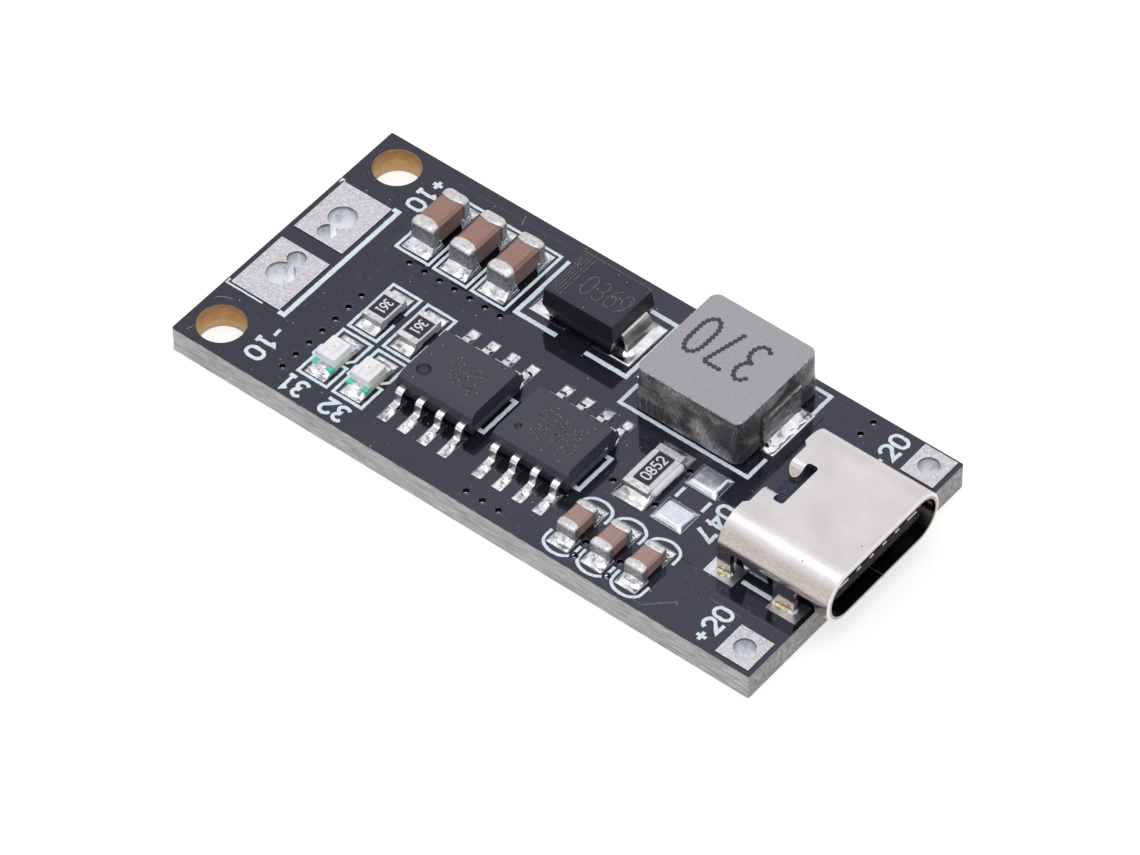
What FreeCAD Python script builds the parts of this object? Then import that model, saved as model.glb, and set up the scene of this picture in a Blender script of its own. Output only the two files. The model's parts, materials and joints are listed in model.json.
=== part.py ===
# A lithium battery charger module: a small circuit board with a power inlet at one end and
# battery pads at the other. Millimetres, +Z up, +X towards the inlet. The layout is worked out
# from the battery end (x = 0) and the near long edge (y = 0), with the board's upper face at
# z = 0. The last step moves everything so that the origin is the centre of the underside.
import FreeCAD, Part
import math
import os

V = FreeCAD.Vector

# Board laminate, copper foil with its tin, and the wall of a plated hole
BOARD_T = 1.6
BOARD_CORNER_R = 0.1
FOIL_T = 0.05
BARREL_WALL = 0.05
BARREL_FLATS = 12

# Two places nearer than this are the same place
SAME = 1e-6

# Steps that stand for the curve of a small bend and of a slot's end
BEND_STEPS = 2
SLOT_END_STEPS = 4

# Two plain mounting holes at the battery end
HOLE_R = 1.3
HOLE_END_INSET = 1.78
HOLE_SIDE_INSET = 1.75

# Two battery pads, each with a wire hole and a smaller hole that breaks into it
CELL_PAD_X = 3.15
CELL_PAD_Y = 3.95
CELL_PAD_INSET = 0.32
CELL_PAD_GAP = 0.95
WIRE_HOLE_R = 0.78
SIDE_HOLE_R = 0.52
SIDE_HOLE_INSET = 0.72
HOLE_PAIR_STEP = 1.23

# Two input pads at the corners beside the inlet
INPUT_PAD_X = 2.0
INPUT_PAD_Y = 2.1
INPUT_PAD_INSET = 1.26
INPUT_PAD_PITCH = 14.75
INPUT_PAD_SHIFT = 0.07
INPUT_HOLE_R = 0.57

# Three large ceramic capacitors, lying along Y
LARGE_CAP_L = 3.1
LARGE_CAP_W = 1.5
LARGE_CAP_H = 1.55
LARGE_CAP_BAND = 0.74
LARGE_CAP_LIP_BOW = 0.1
LARGE_CAP_CHAMFER = 0.16
LARGE_CAP_LAND_W = 1.7
LARGE_CAP_LAND_SPAN = 4.2
LARGE_CAP_LAND_L = 1.35
LARGE_CAP_PITCH = 2.45
LARGE_CAP_COUNT = 3

# Three small ceramic capacitors, lying along Y
SMALL_CAP_L = 2.0
SMALL_CAP_W = 1.2
SMALL_CAP_H = 1.0
SMALL_CAP_BAND = 0.52
SMALL_CAP_LIP_BOW = 0.05
SMALL_CAP_CHAMFER = 0.12
SMALL_CAP_LAND_W = 1.32
SMALL_CAP_LAND_SPAN = 3.3
SMALL_CAP_LAND_L = 1.1
SMALL_CAP_PITCH = 2.1
SMALL_CAP_COUNT = 3

# Metal on the ends of all chip parts
END_METAL_T = 0.05

# Two small resistors, lying along Y
RESISTOR_L = 2.0
RESISTOR_W = 1.25
RESISTOR_H = 0.5
RESISTOR_BAND = 0.36
RESISTOR_GLAZE_L = 1.27
RESISTOR_GLAZE_W = 1.02

# One sense resistor, lying along Y, and the same pair of lands left bare beside it
SENSE_L = 3.05
SENSE_W = 1.55
SENSE_H = 0.58
SENSE_BAND = 0.42
SENSE_GLAZE_L = 2.1
SENSE_GLAZE_W = 0.95
SENSE_LAND_W = 1.92
SENSE_LAND_SPAN = 4.36
SENSE_LAND_L = 1.6
GLAZE_T = 0.06

# Two indicator lights, lying along Y
LAMP_L = 2.0
LAMP_W = 1.25
LAMP_BASE_T = 0.3
LAMP_BAND = 0.25
LAMP_NOTCH_R = 0.22
LENS_L = 1.46
LENS_H = 0.5
LENS_DRAFT = 0.05

# Lands of the lamps and the small resistors, which share two columns
LAMP_LAND_W = 1.28
LAMP_LAND_SPAN = 3.12
LAMP_LAND_L = 1.05
LAMP_PITCH = 2.25
LAMP_COUNT = 2
LAMP_EDGE = 1.86
RESISTOR_ROW_GAP = 0.78

# Two eight-lead chips, long along X, leads on both Y sides
CHIP_L = 4.9
CHIP_W = 3.9
CHIP_H = 1.42
CHIP_STANDOFF = 0.1
CHIP_DRAFT = 0.14
CHIP_BEVEL = 0.3
CHIP_COUNT = 2
LEAD_T = 0.2
LEAD_W = 0.42
LEAD_PITCH = 1.27
LEAD_PER_SIDE = 4
LEAD_SPAN = 6.0
LEAD_SHOULDER = 0.34
LEAD_KNEE_R = 0.2
LEAD_SLOPE = 0.16
LEAD_LAND_W = 0.6
LEAD_LAND_L = 1.75
LEAD_LAND_SPAN = 7.53
FIRST_MARK_R = 0.4
SECOND_MARK_R = 0.21
MARK_DEPTH = 0.06
MARK_END_INSET = 0.95
MARK_SIDE_INSET = 1.05

# Rectifier diode, long along X
DIODE_L = 4.5
DIODE_W = 3.42
DIODE_H = 2.05
DIODE_UPPER_DRAFT = 0.08
DIODE_LOWER_DRAFT = 0.28
DIODE_PARTING = 0.95
DIODE_LEAD_W = 2.0
DIODE_LEAD_T = 0.2
DIODE_LEAD_SHOULDER = 0.2
DIODE_LEAD_REACH = 0.43
DIODE_LEAD_ROOT = 0.3
DIODE_LEAD_STRAIGHT = 0.6
DIODE_FOOT_L = 1.15
DIODE_KNEE_R = 0.18
DIODE_LAND_W = 3.16
DIODE_LAND_L = 2.3
DIODE_LAND_SPAN = 6.4
DIODE_SHIFT_Y = 0.13

# Power inductor
COIL_TOP = 6.42
COIL_BASE = 6.56
COIL_H = 2.9
COIL_CORNER_R = 0.5
COIL_EDGE = 0.06
COIL_SHIFT_X = 0.16
COIL_SHIFT_Y = -0.14
COIL_LEAD_T = 0.15
COIL_LEAD_W = 3.05
COIL_LEAD_Z = 2.12
COIL_LEAD_GAP = 0.04
COIL_FOOT_L = 1.75
COIL_KNEE_R = 0.13
COIL_LAND_W = 3.45
COIL_LAND_L = 2.4
COIL_LAND_SPAN = 8.55

# Power inlet: a rolled shell, long along X, its mouth over the board's end
SHELL_L = 6.7
SHELL_W = 8.94
SHELL_H = 3.16
SHELL_T = 0.3
SHELL_LIFT = 0.02
SHELL_EDGE = 0.07
SHELL_SEAM = 0.06
INLET_OVERHANG = 1.32
INLET_SHIFT_Y = 0.27

# Four stake legs pulled down from the shell's sides, with relief cuts beside them
REAR_LEG_L = 0.82
FRONT_LEG_L = 1.28
FRONT_LEG_START = 3.4
LEG_DEPTH = 0.95
REAR_RELIEF = 0.8
FRONT_RELIEF_BACK = 0.36
FRONT_RELIEF_FORE = 1.2
RELIEF_RISE = 0.08
RELIEF_CORNER_R = 0.25
RELIEF_REACH = 1.75

# Plated slots and lands for the legs
SLOT_W = 0.6
SLOT_EXTRA = 0.2
LEG_LAND_X = 1.76
LEG_LAND_Y = 1.3
REAR_LAND_SHIFT = 0.02
FRONT_LAND_SHIFT = 0.2

# Roof of the shell: rear step, cross slot and two tabs bent down to hold the housing
ROOF_STEP = 0.24
ROOF_STEP_W = 5.0
ROOF_STEP_SLOPE = 0.25
ROOF_SLOT_START = 1.0
ROOF_SLOT_L = 0.62
ROOF_SLOT_W = 2.95
ROOF_SLOT_R = 0.18
TAB_ROOT = 1.3
TAB_FLAT = 0.16
TAB_DROP = 0.66
TAB_RUN = 0.5
TAB_BEND_R = 0.3

# Moulded housing and its tongue
HOUSING_START = 0.3
HOUSING_BACK_L = 1.72
HOUSING_LOW_TOP = 2.22
HOUSING_CLEAR = 0.03
FLOOR_CUT_L = 1.9
FLOOR_CUT_W = 6.6
TONGUE_W = 6.69
TONGUE_T = 0.7
TONGUE_TIP_INSET = 0.38
TONGUE_ROOT_L = 0.8
TONGUE_ROOT_T = 1.1

# Contacts: four narrow and two wide strips on each face of the tongue
CONTACT_T = 0.1
CONTACT_INLAY = 0.05
NARROW_COUNT = 4
NARROW_CONTACT_W = 0.36
WIDE_CONTACT_W = 0.76
NARROW_PITCH = 1.02
WIDE_OFFSET = 2.72
CONTACT_TIP_INSET = 0.03
CONTACT_DROP_X = 0.55
CONTACT_BEND_R = 0.12
TAIL_REACH = 0.45
TAIL_LAND_L = 1.1
TAIL_LAND_W = 0.8

# Solder: how far it runs over a land and how high it climbs
FILLET_RUN = 0.42
FILLET_RISE = 0.4
FILLET_HOLLOW = 0.36
TOE_RUN = 0.42
TOE_RISE = 0.17
TOE_MARGIN = 0.05
LEG_MOUND = 0.12
LEG_MOUND_SLOPE = 0.09
BUMP_H = 0.22
BUMP_MARGIN = 0.16

# Gaps between the columns of parts, from the battery end to the inlet
CAP_COLUMN_GAP = 1.98
DIODE_GAP = 1.13
COIL_GAP = 0.67
INLET_GAP = 2.05
LAMP_COLUMN_GAP = 3.62
CHIP_GAP = 1.0
CHIP_TO_CHIP = 1.11
SENSE_GAP = 1.5
BARE_GAP = 0.46
SMALL_CAP_GAP = 0.92

# Gaps between the rows, from the near edge to the far edge
CHIP_EDGE = 1.72
COIL_ROW_GAP = 0.97
COIL_EDGE_GAP = 0.47
SMALL_CAP_EDGE = 0.64
SENSE_ROW_GAP = 1.06

# Columns
pad_column_end = CELL_PAD_INSET + CELL_PAD_X
large_cap_x = pad_column_end + CAP_COLUMN_GAP + LARGE_CAP_LAND_W / 2
large_cap_end = large_cap_x + (LARGE_CAP_COUNT - 1) * LARGE_CAP_PITCH + LARGE_CAP_LAND_W / 2
diode_x = large_cap_end + DIODE_GAP + DIODE_LAND_SPAN / 2
coil_land_x = diode_x + DIODE_LAND_SPAN / 2 + COIL_GAP + COIL_LAND_SPAN / 2
lamp_x = pad_column_end + LAMP_COLUMN_GAP + LAMP_LAND_W / 2
lamp_end = lamp_x + (LAMP_COUNT - 1) * LAMP_PITCH + LAMP_LAND_W / 2
chip_x = lamp_end + CHIP_GAP + CHIP_L / 2
chip_step = CHIP_L + CHIP_TO_CHIP
chip_end = chip_x + (CHIP_COUNT - 1) * chip_step + CHIP_L / 2
sense_x = chip_end + SENSE_GAP + SENSE_LAND_W / 2
bare_x = sense_x + SENSE_LAND_W + BARE_GAP
small_cap_x = chip_end + SMALL_CAP_GAP + SMALL_CAP_LAND_W / 2
small_cap_end = small_cap_x + (SMALL_CAP_COUNT - 1) * SMALL_CAP_PITCH + SMALL_CAP_LAND_W / 2
upper_row_end = coil_land_x + COIL_LAND_SPAN / 2
lower_row_end = max(small_cap_end, bare_x + SENSE_LAND_W / 2)
inlet_rear = max(upper_row_end, lower_row_end) + INLET_GAP
inlet_front = inlet_rear + SHELL_L
board_x = inlet_front - INLET_OVERHANG

# Rows
chip_y = CHIP_EDGE + LEAD_LAND_SPAN / 2
coil_y = CHIP_EDGE + LEAD_LAND_SPAN + COIL_ROW_GAP + COIL_BASE / 2
board_y = coil_y + COIL_BASE / 2 + COIL_EDGE_GAP
diode_y = coil_y + DIODE_SHIFT_Y
lamp_y = LAMP_EDGE + LAMP_LAND_SPAN / 2
resistor_y = lamp_y + LAMP_LAND_SPAN + RESISTOR_ROW_GAP
small_cap_y = SMALL_CAP_EDGE + SMALL_CAP_LAND_SPAN / 2
sense_y = SMALL_CAP_EDGE + SMALL_CAP_LAND_SPAN + SENSE_ROW_GAP + SENSE_LAND_SPAN / 2
middle_y = board_y / 2
inlet_y = middle_y + INLET_SHIFT_Y

# Heights
part_z = FOIL_T
shell_z = SHELL_LIFT + SHELL_H / 2
leg_y = SHELL_W / 2 - SHELL_T / 2
rear_leg_x = inlet_rear + REAR_LEG_L / 2
front_leg_x = inlet_rear + FRONT_LEG_START + FRONT_LEG_L / 2

nodes = {}


def block(x, y, z, cx=0.0, cy=0.0, z0=0.0):
    """A block centred on cx, cy that stands on z0."""
    return Part.makeBox(x, y, z, V(cx - x / 2, cy - y / 2, z0))


def rod(r, z0, z1, cx=0.0, cy=0.0):
    """An upright cylinder from z0 to z1."""
    return Part.makeCylinder(r, z1 - z0, V(cx, cy, z0))


def upright_edges(shape):
    """The edges that run along Z."""
    return [e for e in shape.Edges
            if len(e.Vertexes) == 2
            and abs(e.Vertexes[0].X - e.Vertexes[1].X) < SAME
            and abs(e.Vertexes[0].Y - e.Vertexes[1].Y) < SAME]


def rounded_block(x, y, z, r, cx=0.0, cy=0.0, z0=0.0):
    """A block with its four upright edges rounded."""
    shape = block(x, y, z, cx, cy, z0)
    return shape.makeFillet(r, upright_edges(shape))


def face_of(points):
    """A flat face from corner points."""
    return Part.Face(Part.makePolygon(points + [points[0]]))


def tapered_block(x0, y0, x1, y1, z0, z1):
    """A block that tapers from one rectangle to another."""
    def ring(x, y, z):
        corners = [V(-x / 2, -y / 2, z), V(x / 2, -y / 2, z), V(x / 2, y / 2, z), V(-x / 2, y / 2, z)]
        return Part.makePolygon(corners + [corners[0]])
    return Part.makeLoft([ring(x0, y0, z0), ring(x1, y1, z1)], True, True)


def slot_solid(length, width, z0, z1):
    """An upright solid with rounded ends, long along X."""
    outline = []
    for end in (1, -1):
        for step in range(SLOT_END_STEPS + 1):
            angle = math.pi * (step / SLOT_END_STEPS - 0.5)
            outline.append(V(end * ((length - width) / 2 + math.cos(angle) * width / 2),
                             end * math.sin(angle) * width / 2, z0))
    return face_of(outline).extrude(V(0, 0, z1 - z0))


def bent_strip(path, bend_r, thickness, width):
    """Sheet folded in the X-Z plane along a path, each bend in a few short straight steps."""
    half = thickness / 2
    runs = [(path[i + 1] - path[i]).normalize() for i in range(len(path) - 1)]
    sides = [V(-run.z, 0, run.x) for run in runs]
    left = [path[0] + sides[0] * half]
    right = [path[0] - sides[0] * half]
    for i in range(1, len(path) - 1):
        before, after = runs[i - 1], runs[i]
        turn = 1 if before.x * after.z - before.z * after.x > 0 else -1
        back_off = bend_r * math.tan(before.getAngle(after) / 2)
        centre = path[i] - before * back_off + sides[i - 1] * (turn * bend_r)
        for step in range(BEND_STEPS + 1):
            share = step / BEND_STEPS
            spoke = (sides[i - 1] * (1 - share) + sides[i] * share).normalize() * -turn
            left.append(centre + spoke * (bend_r - turn * half))
            right.append(centre + spoke * (bend_r + turn * half))
    left.append(path[-1] + sides[-1] * half)
    right.append(path[-1] - sides[-1] * half)
    strip = face_of(left + right[::-1]).extrude(V(0, width, 0))
    strip.translate(V(0, -width / 2, 0))
    return strip


def turned(shape, degrees):
    """The shape turned about the Z axis."""
    copy = shape.copy()
    copy.rotate(V(0, 0, 0), V(0, 0, 1), degrees)
    return copy


def moved(shape, x=0.0, y=0.0, z=0.0):
    """The shape at another place."""
    copy = shape.copy()
    copy.translate(V(x, y, z))
    return copy


def group(shapes):
    """Several separate solids as one node."""
    return Part.makeCompound(shapes)


def solder_wedge(run, rise, width):
    """Solder that climbs an upright face at x = 0, with a hollow slope towards +X."""
    hollow = V(run * FILLET_HOLLOW, 0, rise * FILLET_HOLLOW)
    wedge = face_of([V(0, 0, 0), V(run, 0, 0), hollow, V(0, 0, rise)]).extrude(V(0, width, 0))
    wedge.translate(V(0, -width / 2, 0))
    return wedge


def land_pair(width, length, span):
    """Two lands of a part that lies along Y: the span is measured over both."""
    offset = (span - length) / 2
    return [block(width, length, FOIL_T, cy=side * offset) for side in (-1, 1)]


def end_solder(part_length, run, rise, width):
    """Solder at both ends of a part that lies along Y."""
    wedge = solder_wedge(run, rise, width)
    ends = []
    for side in (-1, 1):
        ends.append(moved(turned(wedge, side * 90), y=side * part_length / 2, z=part_z))
    return ends


def board():
    """The laminate with its plain holes, plated holes, leg slots and pad recesses below."""
    plate = rounded_block(board_x, board_y, BOARD_T, BOARD_CORNER_R,
                          board_x / 2, middle_y, -BOARD_T)
    cuts = [rod(HOLE_R, -BOARD_T, 0, HOLE_END_INSET, y)
            for y in (HOLE_SIDE_INSET, board_y - HOLE_SIDE_INSET)]
    cuts += [cell_pad(side) for side in (-1, 1)] + [input_pad(side) for side in (-1, 1)]
    cuts += [cell_bores(side, 0.0) for side in (-1, 1)]
    cuts += [input_bore(side, 0.0) for side in (-1, 1)]
    cuts += [leg_socket(x, side, leg, BARREL_WALL) for x, side, leg, shift in leg_places()]
    return plate.cut(cuts)


def cell_pad_centre(side):
    """Centre of a battery pad: side -1 is the near one."""
    return V(CELL_PAD_INSET + CELL_PAD_X / 2, middle_y + side * (CELL_PAD_GAP + CELL_PAD_Y) / 2, 0)


def barrel_rod(r, grow, cx, cy):
    """A bore through board and foil. Grown by the plating it gets flats, which key it in the board."""
    low = -BOARD_T - FOIL_T
    if not grow:
        return rod(r, low, FOIL_T, cx, cy)
    reach = (r + grow) / math.cos(math.pi / BARREL_FLATS)
    angles = [2 * math.pi * (i + 0.5) / BARREL_FLATS for i in range(BARREL_FLATS)]
    ring = [V(cx + reach * math.cos(a), cy + reach * math.sin(a), low) for a in angles]
    return face_of(ring).extrude(V(0, 0, FOIL_T - low))


def cell_bores(side, grow):
    """The wire hole and the smaller hole that breaks into it."""
    centre = cell_pad_centre(side)
    inner_edge = middle_y + side * CELL_PAD_GAP / 2
    side_hole_y = inner_edge + side * SIDE_HOLE_INSET
    wire_hole_y = side_hole_y + side * HOLE_PAIR_STEP
    wire = barrel_rod(WIRE_HOLE_R, grow, centre.x, wire_hole_y)
    return wire.fuse(barrel_rod(SIDE_HOLE_R, grow, centre.x, side_hole_y)).removeSplitter()


def plated_pad(x, y, cx, cy, bores, barrel):
    """Foil on top, foil let in flush below, and the plated barrel between them."""
    top = block(x, y, FOIL_T, cx, cy)
    below = block(x, y, FOIL_T, cx, cy, -BOARD_T)
    middle = barrel.common(block(x, y, BOARD_T, cx, cy, -BOARD_T))
    return top.fuse([below, middle]).cut(bores).removeSplitter()


def cell_pad(side):
    """One battery pad."""
    centre = cell_pad_centre(side)
    return plated_pad(CELL_PAD_X, CELL_PAD_Y, centre.x, centre.y,
                      cell_bores(side, 0.0), cell_bores(side, BARREL_WALL))


def input_pad_centre(side):
    """Centre of an input pad: side -1 is the near one."""
    return V(board_x - INPUT_PAD_INSET, middle_y + INPUT_PAD_SHIFT + side * INPUT_PAD_PITCH / 2, 0)


def input_bore(side, grow):
    """The wire hole of an input pad."""
    centre = input_pad_centre(side)
    return barrel_rod(INPUT_HOLE_R, grow, centre.x, centre.y)


def input_pad(side):
    """One input pad."""
    centre = input_pad_centre(side)
    return plated_pad(INPUT_PAD_X, INPUT_PAD_Y, centre.x, centre.y,
                      input_bore(side, 0.0), input_bore(side, BARREL_WALL))


def blunt_block(length, width, height, chamfer, z0):
    """A block, long along Y, whose end faces have chamfered edges."""
    shape = block(width, length, height, z0=z0)
    ends = [e for e in shape.Edges if all(abs(abs(v.Y) - length / 2) < SAME for v in e.Vertexes)]
    return shape.makeChamfer(chamfer, ends)


def capacitor(length, width, height, band, lip_bow, chamfer):
    """A ceramic block and the two metal cups on its ends, whose lips are bowed in plan."""
    body = blunt_block(length - 2 * END_METAL_T, width - 2 * END_METAL_T, height - 2 * END_METAL_T,
                       chamfer, END_METAL_T)
    outer = blunt_block(length, width, height, chamfer, 0.0)
    cups = []
    for side in (-1, 1):
        lip_y = side * (length / 2 - band)
        shy_y = lip_y + side * lip_bow
        bow = face_of([V(-width / 2, side * length, 0), V(-width / 2, shy_y, 0), V(-width / 4, lip_y, 0),
                       V(width / 4, lip_y, 0), V(width / 2, shy_y, 0), V(width / 2, side * length, 0)])
        cups.append(outer.cut(body).common(bow.extrude(V(0, 0, height))))
    return moved(body, z=part_z), [moved(cup, z=part_z) for cup in cups]


def capacitors(prefix, count, x, y, pitch, parts):
    """A row of like capacitors."""
    body, cups = parts
    for i in range(count):
        cx = x + i * pitch
        nodes[f"{prefix}_{i + 1}_body"] = moved(body, cx, y)
        nodes[f"{prefix}_{i + 1}_terminals"] = group([moved(cup, cx, y) for cup in cups])


def resistor(length, width, height, band, glaze_l, glaze_w):
    """A ceramic plate, metal folded round both ends, and a glaze on top."""
    core = block(width, length - 2 * END_METAL_T, height - 2 * END_METAL_T, z0=END_METAL_T)
    skin = block(width, length, height).cut(core)
    metal = [skin.common(block(width, band, height, cy=side * (length - band) / 2))
             for side in (-1, 1)]
    glaze = block(glaze_w, glaze_l, GLAZE_T, z0=height - END_METAL_T)
    return (moved(core, z=part_z), [moved(m, z=part_z) for m in metal], moved(glaze, z=part_z))


def add_resistor(name, x, y, parts):
    """Put one resistor's three nodes in place."""
    core, metal, glaze = parts
    nodes[f"{name}_substrate"] = moved(core, x, y)
    nodes[f"{name}_terminals"] = group([moved(m, x, y) for m in metal])
    nodes[f"{name}_glaze"] = moved(glaze, x, y)


def notch(r, side):
    """The rounded notch in one end of a lamp's base."""
    width = 2 * r
    return moved(turned(slot_solid(2 * width, width, 0, LAMP_BASE_T), 90), y=side * (LAMP_L / 2 + r))


def lamp():
    """An indicator light: base with notched ends, end metal and a milky lens."""
    notches = [notch(LAMP_NOTCH_R, side) for side in (-1, 1)]
    plated = [notch(LAMP_NOTCH_R + END_METAL_T, side) for side in (-1, 1)]
    whole = block(LAMP_W, LAMP_L, LAMP_BASE_T).cut(notches)
    core = block(LAMP_W, LAMP_L - 2 * END_METAL_T, LAMP_BASE_T - 2 * END_METAL_T, z0=END_METAL_T)
    core = core.cut(plated)
    skin = whole.cut(core)
    metal = []
    for side in (-1, 1):
        end = block(LAMP_W, LAMP_BAND + LAMP_NOTCH_R, LAMP_BASE_T,
                    cy=side * (LAMP_L - LAMP_BAND - LAMP_NOTCH_R) / 2)
        metal.append(skin.common(end))
    base = whole.cut(metal)
    lens = tapered_block(LAMP_W, LENS_L, LAMP_W - 2 * LENS_DRAFT, LENS_L - 2 * LENS_DRAFT,
                         LAMP_BASE_T, LAMP_BASE_T + LENS_H)
    return (moved(base, z=part_z), [moved(m, z=part_z) for m in metal], moved(lens, z=part_z))


def chip_body(mark_r):
    """A moulding that tapers above and below its parting plane, with a bevelled pin-one edge."""
    low = part_z + CHIP_STANDOFF
    high = low + CHIP_H
    parting = (low + high) / 2
    small_l = CHIP_L - 2 * CHIP_DRAFT
    small_w = CHIP_W - 2 * CHIP_DRAFT
    body = tapered_block(small_l, small_w, CHIP_L, CHIP_W, low, parting)
    body = body.fuse(tapered_block(CHIP_L, CHIP_W, small_l, small_w, parting, high))
    near = -CHIP_W / 2
    bevel = face_of([V(-CHIP_L, near, high - CHIP_BEVEL), V(-CHIP_L, near + CHIP_BEVEL + CHIP_DRAFT, high),
                     V(-CHIP_L, near, high)]).extrude(V(2 * CHIP_L, 0, 0))
    mark = rod(mark_r, high - MARK_DEPTH, high, MARK_END_INSET - CHIP_L / 2,
               MARK_SIDE_INSET - CHIP_W / 2)
    return body.cut([bevel, mark])


def chip_lead():
    """One gull-wing lead in the X-Z plane, from inside the body at x = 0 to its toe."""
    shoulder_z = part_z + CHIP_STANDOFF + CHIP_H / 2
    foot_z = part_z + LEAD_T / 2
    knee_x = CHIP_W / 2 + LEAD_SHOULDER
    path = [V(CHIP_W / 2 - CHIP_DRAFT - LEAD_T, 0, shoulder_z), V(knee_x, 0, shoulder_z),
            V(knee_x + LEAD_SLOPE, 0, foot_z), V(LEAD_SPAN / 2, 0, foot_z)]
    return bent_strip(path, LEAD_KNEE_R, LEAD_T, LEAD_W)


def chip_lead_places():
    """Offset along X and side of each lead."""
    first = -(LEAD_PER_SIDE - 1) * LEAD_PITCH / 2
    return [(first + i * LEAD_PITCH, side) for side in (-1, 1) for i in range(LEAD_PER_SIDE)]


def chip(name, x, mark_r):
    """One chip: its body and its eight leads."""
    body = chip_body(mark_r)
    lead = chip_lead()
    leads = [moved(turned(lead, side * 90), offset) for offset, side in chip_lead_places()]
    leads = [strip.cut(body) for strip in leads]
    nodes[f"{name}_body"] = moved(body, x, chip_y)
    nodes[f"{name}_leads"] = group([moved(strip, x, chip_y) for strip in leads])


def diode():
    """Moulded diode body and its two leads that curl under it."""
    low = part_z + DIODE_LEAD_T
    parting = low + DIODE_PARTING
    high = low + DIODE_H
    body = tapered_block(DIODE_L - 2 * DIODE_LOWER_DRAFT, DIODE_W - 2 * DIODE_LOWER_DRAFT,
                         DIODE_L, DIODE_W, low, parting)
    body = body.fuse(tapered_block(DIODE_L, DIODE_W, DIODE_L - 2 * DIODE_UPPER_DRAFT,
                                   DIODE_W - 2 * DIODE_UPPER_DRAFT, parting, high))
    out_x = DIODE_L / 2 + DIODE_LEAD_REACH - DIODE_LEAD_T / 2
    foot_z = part_z + DIODE_LEAD_T / 2
    shoulder_x = DIODE_L / 2 + DIODE_LEAD_SHOULDER - DIODE_LEAD_T / 2
    path = [V(DIODE_L / 2 - DIODE_LEAD_ROOT, 0, parting), V(shoulder_x, 0, parting),
            V(out_x, 0, foot_z + DIODE_LEAD_STRAIGHT), V(out_x, 0, foot_z),
            V(out_x - DIODE_FOOT_L, 0, foot_z)]
    lead = bent_strip(path, DIODE_KNEE_R, DIODE_LEAD_T, DIODE_LEAD_W).cut(body)
    nodes["diode_body"] = moved(body, diode_x, diode_y)
    nodes["diode_leads"] = group([moved(turned(lead, angle), diode_x, diode_y) for angle in (0, 180)])


def coil():
    """Pressed inductor body, a little wider at its base, and two terminals folded under it."""
    low = part_z + COIL_LEAD_T
    high = low + COIL_H
    base = rounded_block(COIL_BASE, COIL_BASE, COIL_H, COIL_CORNER_R)
    sections = []
    for size, z in ((COIL_BASE, low), (COIL_TOP, high - COIL_EDGE), (COIL_TOP - 2 * COIL_EDGE, high)):
        scale = size / COIL_BASE
        bottom = [f for f in base.Faces if abs(f.CenterOfMass.z) < SAME][0].OuterWire
        ring = bottom.scaled(scale, V(0, 0, 0))
        ring.translate(V(0, 0, z))
        sections.append(ring)
    lower = Part.makeLoft(sections[0:2], True, True)
    upper = Part.makeLoft(sections[1:3], True, True)
    body = lower.fuse(upper).removeSplitter()
    out_x = COIL_BASE / 2 + COIL_LEAD_GAP + COIL_LEAD_T / 2
    exit_z = part_z + COIL_LEAD_Z
    foot_z = part_z + COIL_LEAD_T / 2
    path = [V(COIL_TOP / 2 - COIL_LEAD_T, 0, exit_z), V(out_x, 0, exit_z),
            V(out_x, 0, foot_z), V(out_x - COIL_FOOT_L, 0, foot_z)]
    lead = bent_strip(path, COIL_KNEE_R, COIL_LEAD_T, COIL_LEAD_W).cut(body)
    x, y = coil_land_x + COIL_SHIFT_X, coil_y + COIL_SHIFT_Y
    nodes["inductor_body"] = moved(body, x, y)
    nodes["inductor_terminals"] = group([moved(turned(lead, angle), x, y) for angle in (0, 180)])


def leg_places():
    """Centre along X, side, width along X and land shift of each stake leg."""
    kinds = ((rear_leg_x, REAR_LEG_L, REAR_LAND_SHIFT), (front_leg_x, FRONT_LEG_L, FRONT_LAND_SHIFT))
    return [(x, side, leg, shift) for side in (-1, 1) for x, leg, shift in kinds]


def leg_socket(x, side, leg, grow):
    """The round-ended slot that takes one leg."""
    length = leg + SLOT_EXTRA
    socket = slot_solid(length + 2 * grow, SLOT_W + 2 * grow, -BOARD_T - FOIL_T, FOIL_T)
    return moved(socket, x, inlet_y + side * leg_y)


def leg_lands():
    """Plated slots with a land on top, and the barrel down to the underside."""
    solids = []
    for x, side, leg, shift in leg_places():
        top = block(LEG_LAND_X, LEG_LAND_Y, FOIL_T, x + shift, inlet_y + side * leg_y)
        barrel = leg_socket(x, side, leg, BARREL_WALL)
        barrel = barrel.common(block(LEG_LAND_X, LEG_LAND_Y, BOARD_T, x + shift,
                                     inlet_y + side * leg_y, -BOARD_T))
        solids.append(top.fuse(barrel).cut(leg_socket(x, side, leg, 0.0)).removeSplitter())
    return group(solids)


def leg_solder():
    """Solder that fills each slot round its leg and mounds up against it."""
    solids = []
    for x, side, leg, shift in leg_places():
        length = leg + SLOT_EXTRA
        fill = slot_solid(length, SLOT_W, -LEG_DEPTH, FOIL_T)
        mound = slot_solid(length, SLOT_W, FOIL_T, FOIL_T + LEG_MOUND)
        top = [e for e in mound.Edges if all(abs(v.Z - FOIL_T - LEG_MOUND) < SAME for v in e.Vertexes)]
        mound = mound.makeChamfer(LEG_MOUND_SLOPE, top)
        joint = fill.fuse(mound).removeSplitter()
        stake = block(leg, SHELL_T, 2 * BOARD_T, z0=-BOARD_T)
        solids.append(moved(joint.cut(stake), x, inlet_y + side * leg_y))
    return group(solids)


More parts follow.
